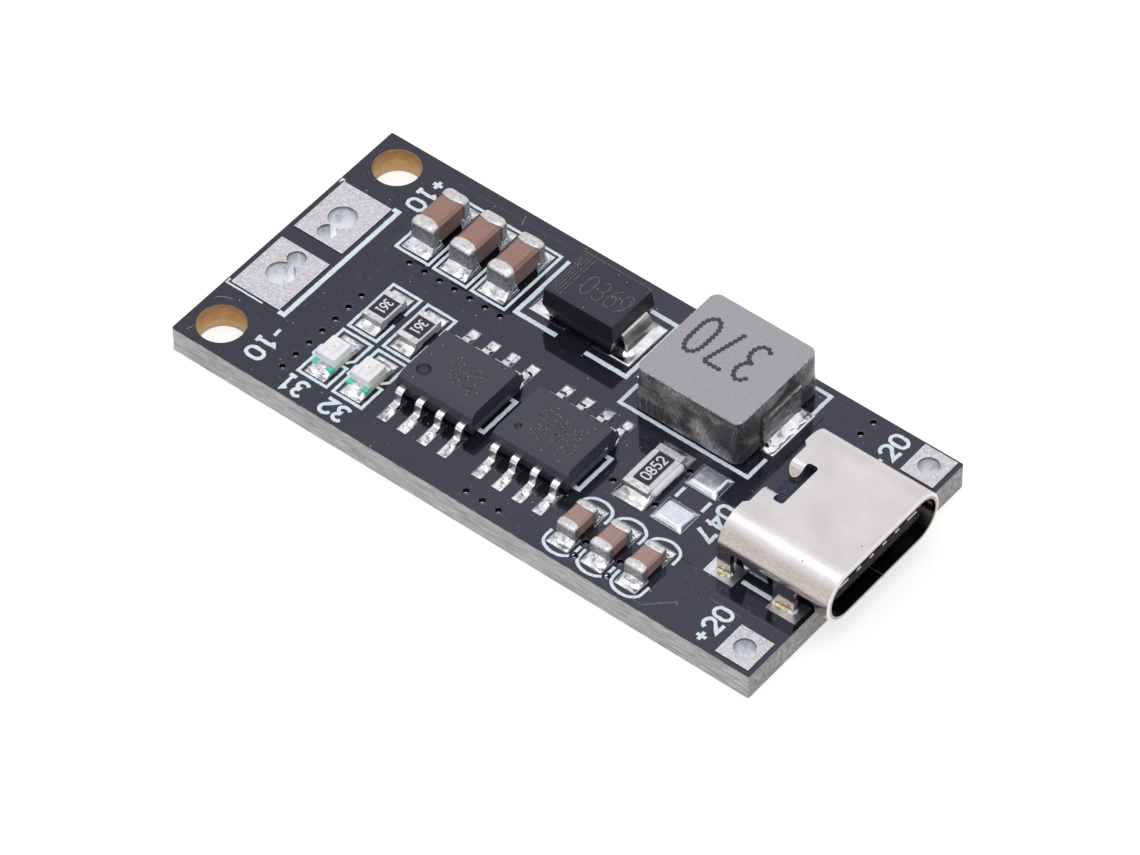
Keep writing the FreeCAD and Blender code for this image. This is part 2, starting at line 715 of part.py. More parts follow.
def stadium(width, height, x0, x1):
    """A solid with a round-sided section, centred on the inlet's axis, from x0 to x1."""
    r = height / 2
    flat = width - height
    middle = Part.makeBox(x1 - x0, flat, height, V(x0, -flat / 2, -r))
    sides = [Part.makeCylinder(r, x1 - x0, V(x0, side * flat / 2, 0), V(1, 0, 0)) for side in (-1, 1)]
    solid = middle.fuse(sides).removeSplitter()
    solid.translate(V(0, inlet_y, shell_z))
    return solid


def relief(x0, x1, side, round_start, round_end):
    """A cut through the shell's side below x0..x1, with rounded upper corners where asked."""
    outer = SHELL_W / 2
    top = shell_z + RELIEF_RISE
    cut = Part.makeBox(x1 - x0, RELIEF_REACH, top, V(x0, 0, 0))
    corners = []
    for e in cut.Edges:
        ends = e.Vertexes
        along_y = abs(ends[0].X - ends[1].X) < SAME and abs(ends[0].Z - ends[1].Z) < SAME
        if along_y and abs(ends[0].Z - top) < SAME:
            if (round_start and abs(ends[0].X - x0) < SAME) or (round_end and abs(ends[0].X - x1) < SAME):
                corners.append(e)
    if corners:
        cut = cut.makeFillet(RELIEF_CORNER_R, corners)
    start = outer - RELIEF_REACH + SHELL_T
    cut.translate(V(0, inlet_y + (start if side > 0 else -start - RELIEF_REACH), 0))
    return cut


def shell():
    """The rolled shell with its seam, legs, relief cuts, roof slot and tabs."""
    tube = stadium(SHELL_W, SHELL_H, inlet_rear, inlet_front)
    front = [e for e in tube.Edges if all(abs(v.X - inlet_front) < SAME for v in e.Vertexes)]
    tube = tube.makeChamfer(SHELL_EDGE, front)
    tube = tube.cut(stadium(SHELL_W - 2 * SHELL_T, SHELL_H - 2 * SHELL_T, inlet_rear, inlet_front))
    rear_leg_end = inlet_rear + REAR_LEG_L
    front_start = inlet_rear + FRONT_LEG_START
    front_end = front_start + FRONT_LEG_L
    cuts = []
    for side in (-1, 1):
        under = SHELL_W / 2 - RELIEF_REACH + SHELL_T
        for x0, x1 in ((inlet_rear, rear_leg_end), (front_start, front_end)):
            y0 = inlet_y + (under if side > 0 else -under - RELIEF_REACH)
            cuts.append(Part.makeBox(x1 - x0, RELIEF_REACH, shell_z, V(x0, y0, 0)))
        cuts.append(relief(rear_leg_end, rear_leg_end + REAR_RELIEF, side, True, True))
        cuts.append(relief(front_start - FRONT_RELIEF_BACK, front_start, side, False, False))
        cuts.append(relief(front_end, front_end + FRONT_RELIEF_FORE, side, True, True))
    floor_x = inlet_rear + FLOOR_CUT_L
    cuts.append(Part.makeBox(FLOOR_CUT_L, FLOOR_CUT_W, shell_z, V(inlet_rear, inlet_y - FLOOR_CUT_W / 2, 0)))
    cuts.append(Part.makeBox(SHELL_L, SHELL_SEAM, shell_z, V(floor_x, inlet_y - SHELL_SEAM / 2, 0)))
    cuts.append(roof_cut())
    tube = tube.cut(cuts)
    legs = []
    for x, side, leg, shift in leg_places():
        legs.append(block(leg, SHELL_T, shell_z + LEG_DEPTH, x, inlet_y + side * leg_y, -LEG_DEPTH))
    return tube.fuse(legs + [roof_tab(side) for side in (-1, 1)]).removeSplitter()


def roof_cut():
    """The rear step of the roof, the slot across it and the gap between the tabs."""
    half = ROOF_STEP_W / 2
    step = face_of([V(inlet_rear, -half, shell_z), V(inlet_rear + ROOF_STEP, ROOF_STEP_SLOPE - half, shell_z),
                    V(inlet_rear + ROOF_STEP, half - ROOF_STEP_SLOPE, shell_z), V(inlet_rear, half, shell_z)])
    step = step.extrude(V(0, 0, SHELL_H))
    step.translate(V(0, inlet_y, 0))
    slot = rounded_block(ROOF_SLOT_L, ROOF_SLOT_W, SHELL_H, ROOF_SLOT_R,
                         inlet_rear + ROOF_SLOT_START + ROOF_SLOT_L / 2, inlet_y, shell_z)
    throat = Part.makeBox(ROOF_SLOT_START + ROOF_SLOT_L / 2, 2 * TAB_ROOT, SHELL_H,
                          V(inlet_rear, inlet_y - TAB_ROOT, shell_z))
    return step.fuse([slot, throat])


def roof_tab(side):
    """One tab bent down into the gap, with a round tip."""
    wall_z = shell_z + SHELL_H / 2 - SHELL_T / 2
    width = ROOF_SLOT_START - ROOF_STEP
    path = [V(-TAB_ROOT, 0, wall_z), V(TAB_FLAT - TAB_ROOT, 0, wall_z),
            V(TAB_FLAT + TAB_RUN - TAB_ROOT, 0, wall_z - TAB_DROP)]
    strip = bent_strip(path, TAB_BEND_R, SHELL_T, width)
    tip = -TAB_ROOT + TAB_FLAT + TAB_RUN
    plan = Part.makeBox(tip - width / 2 + TAB_ROOT, width, SHELL_H, V(-TAB_ROOT, -width / 2, shell_z))
    plan = plan.fuse(Part.makeCylinder(width / 2, SHELL_H, V(tip - width / 2, 0, shell_z)))
    tab = strip.common(plan)
    tab = turned(tab, -side * 90)
    return moved(tab, inlet_rear + ROOF_STEP + width / 2, inlet_y)


def contact_offsets():
    """Offset across the tongue and width of each contact strip."""
    first = -(NARROW_COUNT - 1) * NARROW_PITCH / 2
    places = [(first + i * NARROW_PITCH, NARROW_CONTACT_W) for i in range(NARROW_COUNT)]
    return places + [(side * WIDE_OFFSET, WIDE_CONTACT_W) for side in (-1, 1)]


def upper_contacts():
    """Strips that run on the tongue, drop inside the housing and come out behind as tails."""
    tip_x = inlet_front - TONGUE_TIP_INSET - CONTACT_TIP_INSET
    drop_x = inlet_rear + HOUSING_START + CONTACT_DROP_X
    tail_x = inlet_rear + HOUSING_START - TAIL_REACH
    blade_z = shell_z + TONGUE_T / 2 + CONTACT_T / 2 - CONTACT_INLAY
    tail_z = part_z + CONTACT_T / 2
    path = [V(tip_x, 0, blade_z), V(drop_x, 0, blade_z), V(drop_x, 0, tail_z), V(tail_x, 0, tail_z)]
    return [moved(bent_strip(path, CONTACT_BEND_R, CONTACT_T, width), y=inlet_y + offset)
            for offset, width in contact_offsets()]


def lower_contacts():
    """Strips let into the underside of the tongue."""
    tip_x = inlet_front - TONGUE_TIP_INSET - CONTACT_TIP_INSET
    start_x = inlet_rear + HOUSING_START + HOUSING_BACK_L + TONGUE_ROOT_L
    z0 = shell_z - TONGUE_T / 2 - CONTACT_T + CONTACT_INLAY
    return [Part.makeBox(tip_x - start_x, width, CONTACT_T, V(start_x, inlet_y + offset - width / 2, z0))
            for offset, width in contact_offsets()]


def housing(contacts):
    """The moulding that fills the shell's rear, steps down under the roof slot and holds the tongue."""
    start = inlet_rear + HOUSING_START
    back = start + HOUSING_BACK_L
    fill = stadium(SHELL_W - 2 * SHELL_T - 2 * HOUSING_CLEAR, SHELL_H - 2 * SHELL_T - 2 * HOUSING_CLEAR,
                   start, back)
    low_x = inlet_rear + ROOF_SLOT_START + ROOF_SLOT_L
    step = Part.makeBox(low_x - start, SHELL_W, SHELL_H,
                        V(start, inlet_y - SHELL_W / 2, SHELL_LIFT + HOUSING_LOW_TOP))
    foot = Part.makeBox(FLOOR_CUT_L - HOUSING_START - HOUSING_CLEAR, FLOOR_CUT_W - 2 * HOUSING_CLEAR,
                        shell_z - FOIL_T, V(start, inlet_y - FLOOR_CUT_W / 2 + HOUSING_CLEAR, FOIL_T))
    tip_x = inlet_front - TONGUE_TIP_INSET
    tongue = Part.makeBox(tip_x - back, TONGUE_W, TONGUE_T,
                          V(back, inlet_y - TONGUE_W / 2, shell_z - TONGUE_T / 2))
    root = Part.makeBox(TONGUE_ROOT_L, TONGUE_W, TONGUE_ROOT_T,
                        V(back, inlet_y - TONGUE_W / 2, shell_z - TONGUE_ROOT_T / 2))
    solid = fill.fuse([foot, tongue, root]).cut([step] + contacts)
    return solid.removeSplitter()


def inlet():
    """The inlet's shell, housing and contacts."""
    upper = upper_contacts()
    lower = lower_contacts()
    nodes["inlet_shell"] = shell()
    nodes["inlet_housing"] = housing(upper + lower)
    nodes["inlet_upper_contacts"] = group(upper)
    nodes["inlet_lower_contacts"] = group(lower)
    nodes["inlet_leg_lands"] = leg_lands()
    nodes["inlet_leg_solder"] = leg_solder()
    tail_end = inlet_rear + HOUSING_START - TAIL_REACH
    wedge = turned(solder_wedge(FILLET_RUN, CONTACT_T, NARROW_CONTACT_W), 180)
    nodes["inlet_tail_solder"] = group([moved(wedge, tail_end, inlet_y + offset, part_z)
                                        for offset, width in contact_offsets()])


def component_lands():
    """All plain lands as one layer of foil."""
    lands = []

    def add_row(pair, x, y, pitch=0.0, count=1):
        for i in range(count):
            lands.extend(moved(land, x + i * pitch, y) for land in pair)

    add_row(land_pair(LARGE_CAP_LAND_W, LARGE_CAP_LAND_L, LARGE_CAP_LAND_SPAN),
            large_cap_x, coil_y, LARGE_CAP_PITCH, LARGE_CAP_COUNT)
    add_row(land_pair(SMALL_CAP_LAND_W, SMALL_CAP_LAND_L, SMALL_CAP_LAND_SPAN),
            small_cap_x, small_cap_y, SMALL_CAP_PITCH, SMALL_CAP_COUNT)
    lamp_pair = land_pair(LAMP_LAND_W, LAMP_LAND_L, LAMP_LAND_SPAN)
    add_row(lamp_pair, lamp_x, lamp_y, LAMP_PITCH, LAMP_COUNT)
    add_row(lamp_pair, lamp_x, resistor_y, LAMP_PITCH, LAMP_COUNT)
    sense_pair = land_pair(SENSE_LAND_W, SENSE_LAND_L, SENSE_LAND_SPAN)
    add_row(sense_pair, sense_x, sense_y)
    add_row(sense_pair, bare_x, sense_y)
    chip_pair = land_pair(LEAD_LAND_W, LEAD_LAND_L, LEAD_LAND_SPAN)
    for i in range(CHIP_COUNT):
        first = chip_x + i * chip_step - (LEAD_PER_SIDE - 1) * LEAD_PITCH / 2
        add_row(chip_pair, first, chip_y, LEAD_PITCH, LEAD_PER_SIDE)
    diode_pair = [turned(land, 90) for land in land_pair(DIODE_LAND_W, DIODE_LAND_L, DIODE_LAND_SPAN)]
    add_row(diode_pair, diode_x, diode_y)
    coil_pair = [turned(land, 90) for land in land_pair(COIL_LAND_W, COIL_LAND_L, COIL_LAND_SPAN)]
    add_row(coil_pair, coil_land_x, coil_y)
    tail_centre = inlet_rear + HOUSING_START - TAIL_REACH
    for offset, width in contact_offsets():
        lands.append(block(TAIL_LAND_L, TAIL_LAND_W, FOIL_T, tail_centre, inlet_y + offset))
    return group(lands)


def solder_row(length, run, rise, width, x, y, pitch=0.0, count=1):
    """End solder of a row of like parts that lie along Y."""
    ends = end_solder(length, run, rise, width)
    return group([moved(end, x + i * pitch, y) for i in range(count) for end in ends])


def toe_solder():
    """Solder in front of each chip lead's toe."""
    ends = end_solder(LEAD_SPAN, TOE_RUN, TOE_RISE, LEAD_LAND_W - 2 * TOE_MARGIN)
    solids = []
    for i in range(CHIP_COUNT):
        first = chip_x + i * chip_step - (LEAD_PER_SIDE - 1) * LEAD_PITCH / 2
        for k in range(LEAD_PER_SIDE):
            solids.extend(moved(end, first + k * LEAD_PITCH, chip_y) for end in ends)
    return group(solids)


def side_solder(reach, run, rise, width, x, y):
    """Solder against the two outer faces of leads that leave a part along X."""
    wedge = solder_wedge(run, rise, width)
    return group([moved(turned(moved(wedge, reach), angle), x, y, part_z) for angle in (0, 180)])


def bare_bumps():
    """Solder left on the two bare lands: low mounds with sloping sides."""
    x, y = SENSE_LAND_W - BUMP_MARGIN, SENSE_LAND_L - BUMP_MARGIN
    bump = tapered_block(x, y, x - 2 * BUMP_H, y - 2 * BUMP_H, part_z, part_z + BUMP_H)
    offset = (SENSE_LAND_SPAN - SENSE_LAND_L) / 2
    return group([moved(bump, bare_x, sense_y + side * offset) for side in (-1, 1)])


def build():
    """Make every node."""
    nodes["circuit_board"] = board()
    nodes["battery_pads"] = group([cell_pad(side) for side in (-1, 1)])
    nodes["input_pads"] = group([input_pad(side) for side in (-1, 1)])
    nodes["component_lands"] = component_lands()
    large = capacitor(LARGE_CAP_L, LARGE_CAP_W, LARGE_CAP_H, LARGE_CAP_BAND, LARGE_CAP_LIP_BOW,
                      LARGE_CAP_CHAMFER)
    capacitors("large_capacitor", LARGE_CAP_COUNT, large_cap_x, coil_y, LARGE_CAP_PITCH, large)
    little = capacitor(SMALL_CAP_L, SMALL_CAP_W, SMALL_CAP_H, SMALL_CAP_BAND, SMALL_CAP_LIP_BOW,
                       SMALL_CAP_CHAMFER)
    capacitors("small_capacitor", SMALL_CAP_COUNT, small_cap_x, small_cap_y, SMALL_CAP_PITCH, little)
    small = resistor(RESISTOR_L, RESISTOR_W, RESISTOR_H, RESISTOR_BAND, RESISTOR_GLAZE_L,
                     RESISTOR_GLAZE_W)
    for i in range(LAMP_COUNT):
        add_resistor(f"resistor_{i + 1}", lamp_x + i * LAMP_PITCH, resistor_y, small)
    sense = resistor(SENSE_L, SENSE_W, SENSE_H, SENSE_BAND, SENSE_GLAZE_L, SENSE_GLAZE_W)
    add_resistor("sense_resistor", sense_x, sense_y, sense)
    base, metal, lens = lamp()
    for i in range(LAMP_COUNT):
        x = lamp_x + i * LAMP_PITCH
        nodes[f"indicator_{i + 1}_base"] = moved(base, x, lamp_y)
        nodes[f"indicator_{i + 1}_terminals"] = group([moved(m, x, lamp_y) for m in metal])
        nodes[f"indicator_{i + 1}_lens"] = moved(lens, x, lamp_y)
    chip("charge_chip", chip_x, FIRST_MARK_R)
    chip("switch_chip", chip_x + chip_step, SECOND_MARK_R)
    diode()
    coil()
    inlet()
    nodes["large_capacitor_solder"] = solder_row(
        LARGE_CAP_L, FILLET_RUN, FILLET_RISE, LARGE_CAP_W, large_cap_x, coil_y, LARGE_CAP_PITCH,
        LARGE_CAP_COUNT)
    nodes["small_capacitor_solder"] = solder_row(
        SMALL_CAP_L, FILLET_RUN, FILLET_RISE, SMALL_CAP_W, small_cap_x, small_cap_y, SMALL_CAP_PITCH,
        SMALL_CAP_COUNT)
    nodes["resistor_solder"] = solder_row(
        RESISTOR_L, FILLET_RUN, FILLET_RISE, RESISTOR_W, lamp_x, resistor_y, LAMP_PITCH, LAMP_COUNT)
    nodes["indicator_solder"] = solder_row(
        LAMP_L, FILLET_RUN, LAMP_BASE_T, LAMP_W, lamp_x, lamp_y, LAMP_PITCH, LAMP_COUNT)
    nodes["sense_resistor_solder"] = solder_row(
        SENSE_L, FILLET_RUN, FILLET_RISE, SENSE_W, sense_x, sense_y)
    nodes["chip_solder"] = toe_solder()
    nodes["diode_solder"] = side_solder(
        DIODE_L / 2 + DIODE_LEAD_REACH, FILLET_RUN, FILLET_RISE, DIODE_LEAD_W, diode_x, diode_y)
    nodes["inductor_solder"] = side_solder(
        COIL_BASE / 2 + COIL_LEAD_GAP + COIL_LEAD_T, FILLET_RUN, FILLET_RISE, COIL_LEAD_W,
        coil_land_x + COIL_SHIFT_X, coil_y + COIL_SHIFT_Y)
    nodes["bare_land_solder"] = bare_bumps()


def save():
    """Write one file per node, with the origin at the centre of the underside."""
    os.makedirs("parts", exist_ok=True)
    for name, shape in nodes.items():
        placed = moved(shape, -board_x / 2, -board_y / 2, BOARD_T)
        if not placed.isValid():
            print("not valid:", name)
        placed.exportStep(f"parts/{name}.step")
    print(len(nodes), "nodes, board", round(board_x, 3), "x", round(board_y, 3), "x", BOARD_T)


build()
save()
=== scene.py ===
# %% [markdown]
# # A lithium battery charger module
# The object is a small circuit board, 36.4 mm long, that lies on a white table. Its solid shapes
# come from the CAD frame, where each node already stands in its place. This lesson adds what a
# camera sees from close by: the printed ink, the solder, the small vias and the finish of every
# surface. All lengths in Blender are metres, so a millimetre gets a name of its own.

# %% Load the CAD frame
import json
import math
import random

import bmesh
import bpy
from mathutils import Matrix, Vector, noise


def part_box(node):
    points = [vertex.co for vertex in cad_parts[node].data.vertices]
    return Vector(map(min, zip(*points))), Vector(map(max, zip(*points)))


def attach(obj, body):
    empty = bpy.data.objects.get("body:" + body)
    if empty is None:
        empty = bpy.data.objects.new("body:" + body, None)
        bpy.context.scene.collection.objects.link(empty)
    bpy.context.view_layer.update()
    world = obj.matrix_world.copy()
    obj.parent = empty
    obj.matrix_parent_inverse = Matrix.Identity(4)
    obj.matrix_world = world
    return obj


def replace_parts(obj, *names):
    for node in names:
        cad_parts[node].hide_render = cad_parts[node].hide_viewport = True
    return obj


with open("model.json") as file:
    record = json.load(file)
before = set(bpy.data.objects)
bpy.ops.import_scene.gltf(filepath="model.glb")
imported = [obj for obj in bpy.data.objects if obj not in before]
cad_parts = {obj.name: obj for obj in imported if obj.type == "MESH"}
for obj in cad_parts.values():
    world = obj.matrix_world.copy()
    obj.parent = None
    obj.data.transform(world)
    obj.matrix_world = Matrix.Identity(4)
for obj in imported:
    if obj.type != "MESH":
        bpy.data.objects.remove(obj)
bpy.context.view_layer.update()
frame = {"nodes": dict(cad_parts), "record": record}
MM = 0.001
board_low, board_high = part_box("circuit_board")

# %% [markdown]
# A maker of such a board measures everything from one corner. The helper below does the same: it
# takes millimetres from the battery end and from the near long edge, and a height above the
# board's upper face, and gives the point in the frame.

# %% Places on the board
def spot(x, y, z=0.0):
    """The point in the frame for board millimetres."""
    return Vector((board_low.x + x * MM, board_low.y + y * MM, board_high.z + z * MM))


def mm_box(node):
    """A node's box in board millimetres: x0, x1, y0, y1, z0, z1."""
    low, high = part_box(node)
    low, high = low - spot(0, 0), high - spot(0, 0)
    return [v / MM for v in (low.x, high.x, low.y, high.y, low.z, high.z)]


BOARD_LONG, BOARD_WIDE = mm_box("circuit_board")[1], mm_box("circuit_board")[3]
BOARD_THICK = 1.6
print("board:", round(BOARD_LONG, 2), "x", round(BOARD_WIDE, 2), "x", BOARD_THICK)

# %% [markdown]
# Real surfaces are never one flat colour. Each finish here is a Principled shader whose colour,
# roughness and relief come from noise at the scale of the real grain. The class below adds and
# links plain nodes, one by one. Colours are written as screen values from 0 to 255 and turned
# into the linear numbers that a shader works with.

# %% Colours and plain nodes
def paint(red, green, blue):
    """A screen colour as the linear numbers of a shader."""
    def linear(value):
        value /= 255
        return value / 12.92 if value <= 0.04045 else ((value + 0.055) / 1.055) ** 2.4
    return (linear(red), linear(green), linear(blue), 1.0)


class NodeMaterial:
    """One material that is built up node by node."""

    def __init__(self, name, **sockets):
        self.material = bpy.data.materials.new(name)
        self.material.use_nodes = True
        self.tree = self.material.node_tree
        self.shader = self.tree.nodes["Principled BSDF"]
        for socket, value in sockets.items():
            self.set(socket.replace("_", " "), value)

    def feed(self, socket, value):
        """Links a socket to another node's output, or gives it a fixed value."""
        if isinstance(value, bpy.types.NodeSocket):
            self.tree.links.new(value, socket)
        else:
            socket.default_value = value

    def set(self, socket, value):
        self.feed(self.shader.inputs[socket], value)

    def node(self, kind, inputs, **settings):
        made = self.tree.nodes.new(kind)
        for key, value in settings.items():
            setattr(made, key, value)
        for key, value in inputs.items():
            self.feed(made.inputs[key], value)
        return made

    def math(self, operation, a, b=0.0):
        return self.node("ShaderNodeMath", {0: a, 1: b}, operation=operation).outputs[0]

    def spread(self, value, low, high, to_low=0.0, to_high=1.0):
        """The stretch low to high of a value, as to_low to to_high."""
        made = self.node("ShaderNodeMapRange", {"Value": value, "From Min": low, "From Max": high,
                                                "To Min": to_low, "To Max": to_high})
        return made.outputs["Result"]

    def ramp(self, factor, *stops):
        """A colour ramp from (place, (red, green, blue)) pairs."""
        made = self.node("ShaderNodeValToRGB", {"Fac": factor})
        slots = made.color_ramp.elements
        while len(slots) < len(stops):
            slots.new(1.0)
        for slot, (place, colour) in zip(slots, stops):
            slot.position = place
            slot.color = paint(*colour)
        return made.outputs["Color"]

    def mix(self, factor, first, second):
        """The first colour at 0 and the second at 1; a Mix node has its colours at 6, 7 and 2."""
        made = self.node("ShaderNodeMix", {"Factor": factor, 6: first, 7: second}, data_type="RGBA")
        return made.outputs[2]


print("a middle grey of 128 is", round(paint(128, 128, 128)[0], 3), "in linear light")

# %% [markdown]
# On top of the plain nodes come the words that a finish is described in: grain, patches of tone,
# specks, the height above the board, the way a face looks, gloss and relief. The noise is laid
# out in the object's own space and in millimetres, so a pattern has the real size and stays in
# its place from every side.

# %% The words of a finish
class Finish(NodeMaterial):
    """A surface that is described in millimetres."""

    def here(self):
        """The shaded point in the frame, in metres."""
        return self.tree.nodes.new("ShaderNodeTexCoord").outputs["Object"]

    def place(self, axis):
        return self.node("ShaderNodeSeparateXYZ", {0: self.here()}).outputs[axis]

    def height(self):
        """Millimetres above the board's upper face."""
        return self.math("MULTIPLY", self.math("SUBTRACT", self.place("Z"), board_high.z), 1 / MM)

    def facing(self, axis="Z"):
        """How much the surface faces along an axis, without its sign."""
        normal = self.tree.nodes.new("ShaderNodeNewGeometry").outputs["Normal"]
        return self.math("ABSOLUTE", self.node("ShaderNodeSeparateXYZ", {0: normal}).outputs[axis])

    def grain(self, size, detail=3.0, stretch=(1, 1, 1), warp=0.0):
        """Noise with features about size mm across, drawn out along the axes in stretch."""
        scale = [1 / (size * MM * s) for s in stretch]
        place = self.node("ShaderNodeMapping", {"Vector": self.here(), "Scale": scale})
        made = self.node("ShaderNodeTexNoise", {"Vector": place.outputs["Vector"], "Scale": 1.0,
                                                "Detail": detail, "Distortion": warp})
        return made.outputs["Fac"]

    def patches(self, size, detail, *stops, **how):
        """Tones in patches about size mm across."""
        return self.ramp(self.grain(size, detail, **how), *stops)

    def specks(self, spacing, size, share):
        """Dots size mm across on level faces: 1 on a dot, in some of the cells spacing mm wide."""
        cell = self.node("ShaderNodeTexVoronoi", {"Vector": self.here(), "Scale": 1 / (spacing * MM)},
                         voronoi_dimensions="2D")
        reach = size / spacing / 2
        near = self.spread(cell.outputs["Distance"], reach * 1.15, reach * 0.85)
        tint = self.node("ShaderNodeSeparateColor", {0: cell.outputs["Color"]}).outputs[0]
        near = self.math("MULTIPLY", near, self.math("LESS_THAN", tint, share))
        return self.math("MULTIPLY", near, self.spread(self.facing(), 0.6, 0.8))

    def tone(self, size, detail, *stops, **how):
        self.set("Base Color", self.patches(size, detail, *stops, **how))

    def tone_sides(self, low, high, side):
        """Another tone for upright faces, up to a facing of low; the old one is back at high."""
        level = self.shader.inputs["Base Color"].links[0].from_socket
        self.set("Base Color", self.mix(self.spread(self.facing(), low, high), side, level))

    def gloss(self, size, low, high, detail=3.0, start=0.3):
        """A roughness that wanders between two values."""
        self.set("Roughness", self.spread(self.grain(size, detail), start, 0.7, low, high))

    def relief(self, *layers):
        """Bumps from (factor, height in mm) pairs, added up."""
        below = {}
        for factor, rise in layers:
            bump = self.node("ShaderNodeBump", {"Height": factor, "Distance": rise * MM, "Strength": 1.0,
                                                **below})
            below = {"Normal": bump.outputs["Normal"]}
        self.set("Normal", below["Normal"])


print("words of a finish:", [word for word in vars(Finish) if not word.startswith("_")])

# %% [markdown]
# The board is a glass-epoxy laminate under a dark solder mask. The mask is a thin lacquer with a
# half gloss and a little dust on it, and a painted shade darkens it towards the battery end. One
# material does the whole board, by the way the surface faces and by place. Its level faces
# come first.

# %% The board's mask
def dust(finish, base, spacing=1.4, size=0.065, share=0.3):
    """Sparse pale specks over a base colour."""
    return finish.mix(finish.specks(spacing, size, share), base, paint(178, 180, 190))


mask = Finish("dark_solder_mask", Specular_IOR_Level=0.85, Specular_Tint=paint(218, 221, 255))
SHADE_DARKEST_X, SHADE_FROM_X = 2.0, BOARD_LONG * 0.6
cover = mask.patches(5.0, 3.0, (0.35, (27, 27, 35)), (0.7, (35, 35, 44)))
# painted shade: the mask's colour darkens towards the battery end
painted_shade = mask.spread(mask.place("X"), spot(SHADE_FROM_X, 0).x, spot(SHADE_DARKEST_X, 0).x, 0.0, 0.95)
cover = mask.mix(painted_shade, cover, paint(3, 3, 6))
cover = dust(mask, dust(mask, cover), 0.7, 0.035)
print("mask nodes so far:", len(mask.tree.nodes))

# %% [markdown]
# The long edges were sawn, so they show the pale glass plies as streaks, with darker fibres,
# stains and a rim of mask at the top. The short ends are coarser and browner. Noise that is drawn
# out along the board makes the plies, because modelling each ply would show no more than that.

# %% Sawn edges
plies = mask.patches(0.1, 5.0, (0.3, (112, 110, 108)), (0.42, (170, 168, 165)), (0.56, (206, 204, 203)),
                     (0.7, (238, 237, 237)), stretch=(14, 14, 0.6), warp=1.2)
fibres = mask.grain(0.035, 3.0, (20, 20, 1), 0.8)
plies = mask.mix(mask.spread(fibres, 0.5, 0.72, 0.0, 0.6), plies, paint(130, 128, 126))
stain = mask.spread(mask.grain(1.6, 3.0), 0.5, 0.8, 0.0, 0.4)
plies = mask.mix(stain, plies, paint(150, 148, 142))
short_end = mask.patches(0.22, 6.0, (0.32, (96, 94, 90)), (0.52, (146, 143, 136)), (0.7, (196, 193, 184)),
                         stretch=(1, 1, 0.8), warp=0.5)
plies = mask.mix(mask.spread(mask.facing("X"), 0.6, 0.8, 0.0, 0.8), plies, short_end)
RIM_LOW, RIM_HIGH = -0.07, -0.03
rim = mask.math("ADD", mask.height(), mask.spread(mask.grain(0.4, 5.0), 0.3, 0.7, -0.03, 0.03))
plies = mask.mix(mask.spread(rim, RIM_LOW, RIM_HIGH), plies, paint(44, 45, 54))
print("mask nodes so far:", len(mask.tree.nodes))

# %% [markdown]
# The two mounting holes were drilled and keep the amber of the resin, with painted light over it:
# darker near the top and pale at the bottom. A point lies on a hole's wall when it is near the
# hole's middle and not on a level face, so its distance from both middles is measured. Then the
# three looks are joined.

# %% Drilled holes, and the board's finish as a whole
HOLE_X, HOLE_Y, HOLE_REACH = 1.78, 1.75, 1.6
away = [mask.node("ShaderNodeVectorMath", {0: mask.here(), 1: spot(HOLE_X, y, -BOARD_THICK / 2)},
                  operation="DISTANCE").outputs["Value"] for y in (HOLE_Y, BOARD_WIDE - HOLE_Y)]
in_hole = mask.math("LESS_THAN", mask.math("MINIMUM", *away), HOLE_REACH * MM)
depth = mask.math("ADD", mask.height(), mask.spread(mask.grain(0.5, 4.0), 0.3, 0.7, -0.25, 0.25))
# painted light: the amber is darker near the top of the hole and paler towards its bottom
amber_and_painted_light = mask.ramp(mask.spread(depth, 0.0, -BOARD_THICK), (0.0, (180, 140, 76)), (0.08, (158, 110, 34)),
                  (0.45, (202, 151, 60)), (0.8, (224, 192, 128)), (1.0, (202, 183, 146)))
drilled = mask.spread(mask.grain(0.14, 4.0, (6, 6, 0.5)), 0.35, 0.75, 0.0, 0.35)
amber_and_painted_light = mask.mix(drilled, amber_and_painted_light, paint(228, 208, 168))
is_level = mask.spread(mask.facing(), 0.6, 0.75)
EDGE_ROUGH, MASK_ROUGH = 0.55, 0.07
mask.set("Base Color", mask.mix(is_level, mask.mix(in_hole, plies, amber_and_painted_light), cover))
mask.set("Roughness", mask.spread(is_level, 0.0, 1.0, EDGE_ROUGH, MASK_ROUGH))
mask.relief((mask.grain(1.1, 1.0), 0.0035), (mask.grain(0.12, 3.0), 0.0004))
print("mask nodes:", len(mask.tree.nodes))

# %% [markdown]
# Pads and lands are copper with a skin of hot tin. Tin freezes in soft patches, so it is a satin
# metal with a mottled tone. The walls of the plated holes carry painted light: they are painted
# brighter than the flat pads, with a painted shadow as a dark rim at the top, and they have a
# little grime. The inductor's terminals are darker on top and scratched on their sides.

# %% Tin
def tin(name, dark, light, patch, rough, wall_rough, relief=0.004):
    """Hot tin with a mottled tone, and a gloss on upright walls that may differ."""
    made = Finish(name, Metallic=1.0)
    made.tone(patch, 5.0, (0.32, dark), (0.68, light))
    level = made.spread(made.spread(made.facing(), 0.4, 0.6), 0.0, 1.0, wall_rough, rough)
    wander = made.spread(made.grain(patch * 0.6, 3.0), 0.3, 0.7, -0.05, 0.05)
    made.set("Roughness", made.math("ADD", level, wander))
    made.relief((made.grain(patch * 0.5, 4.0), relief))
    return made


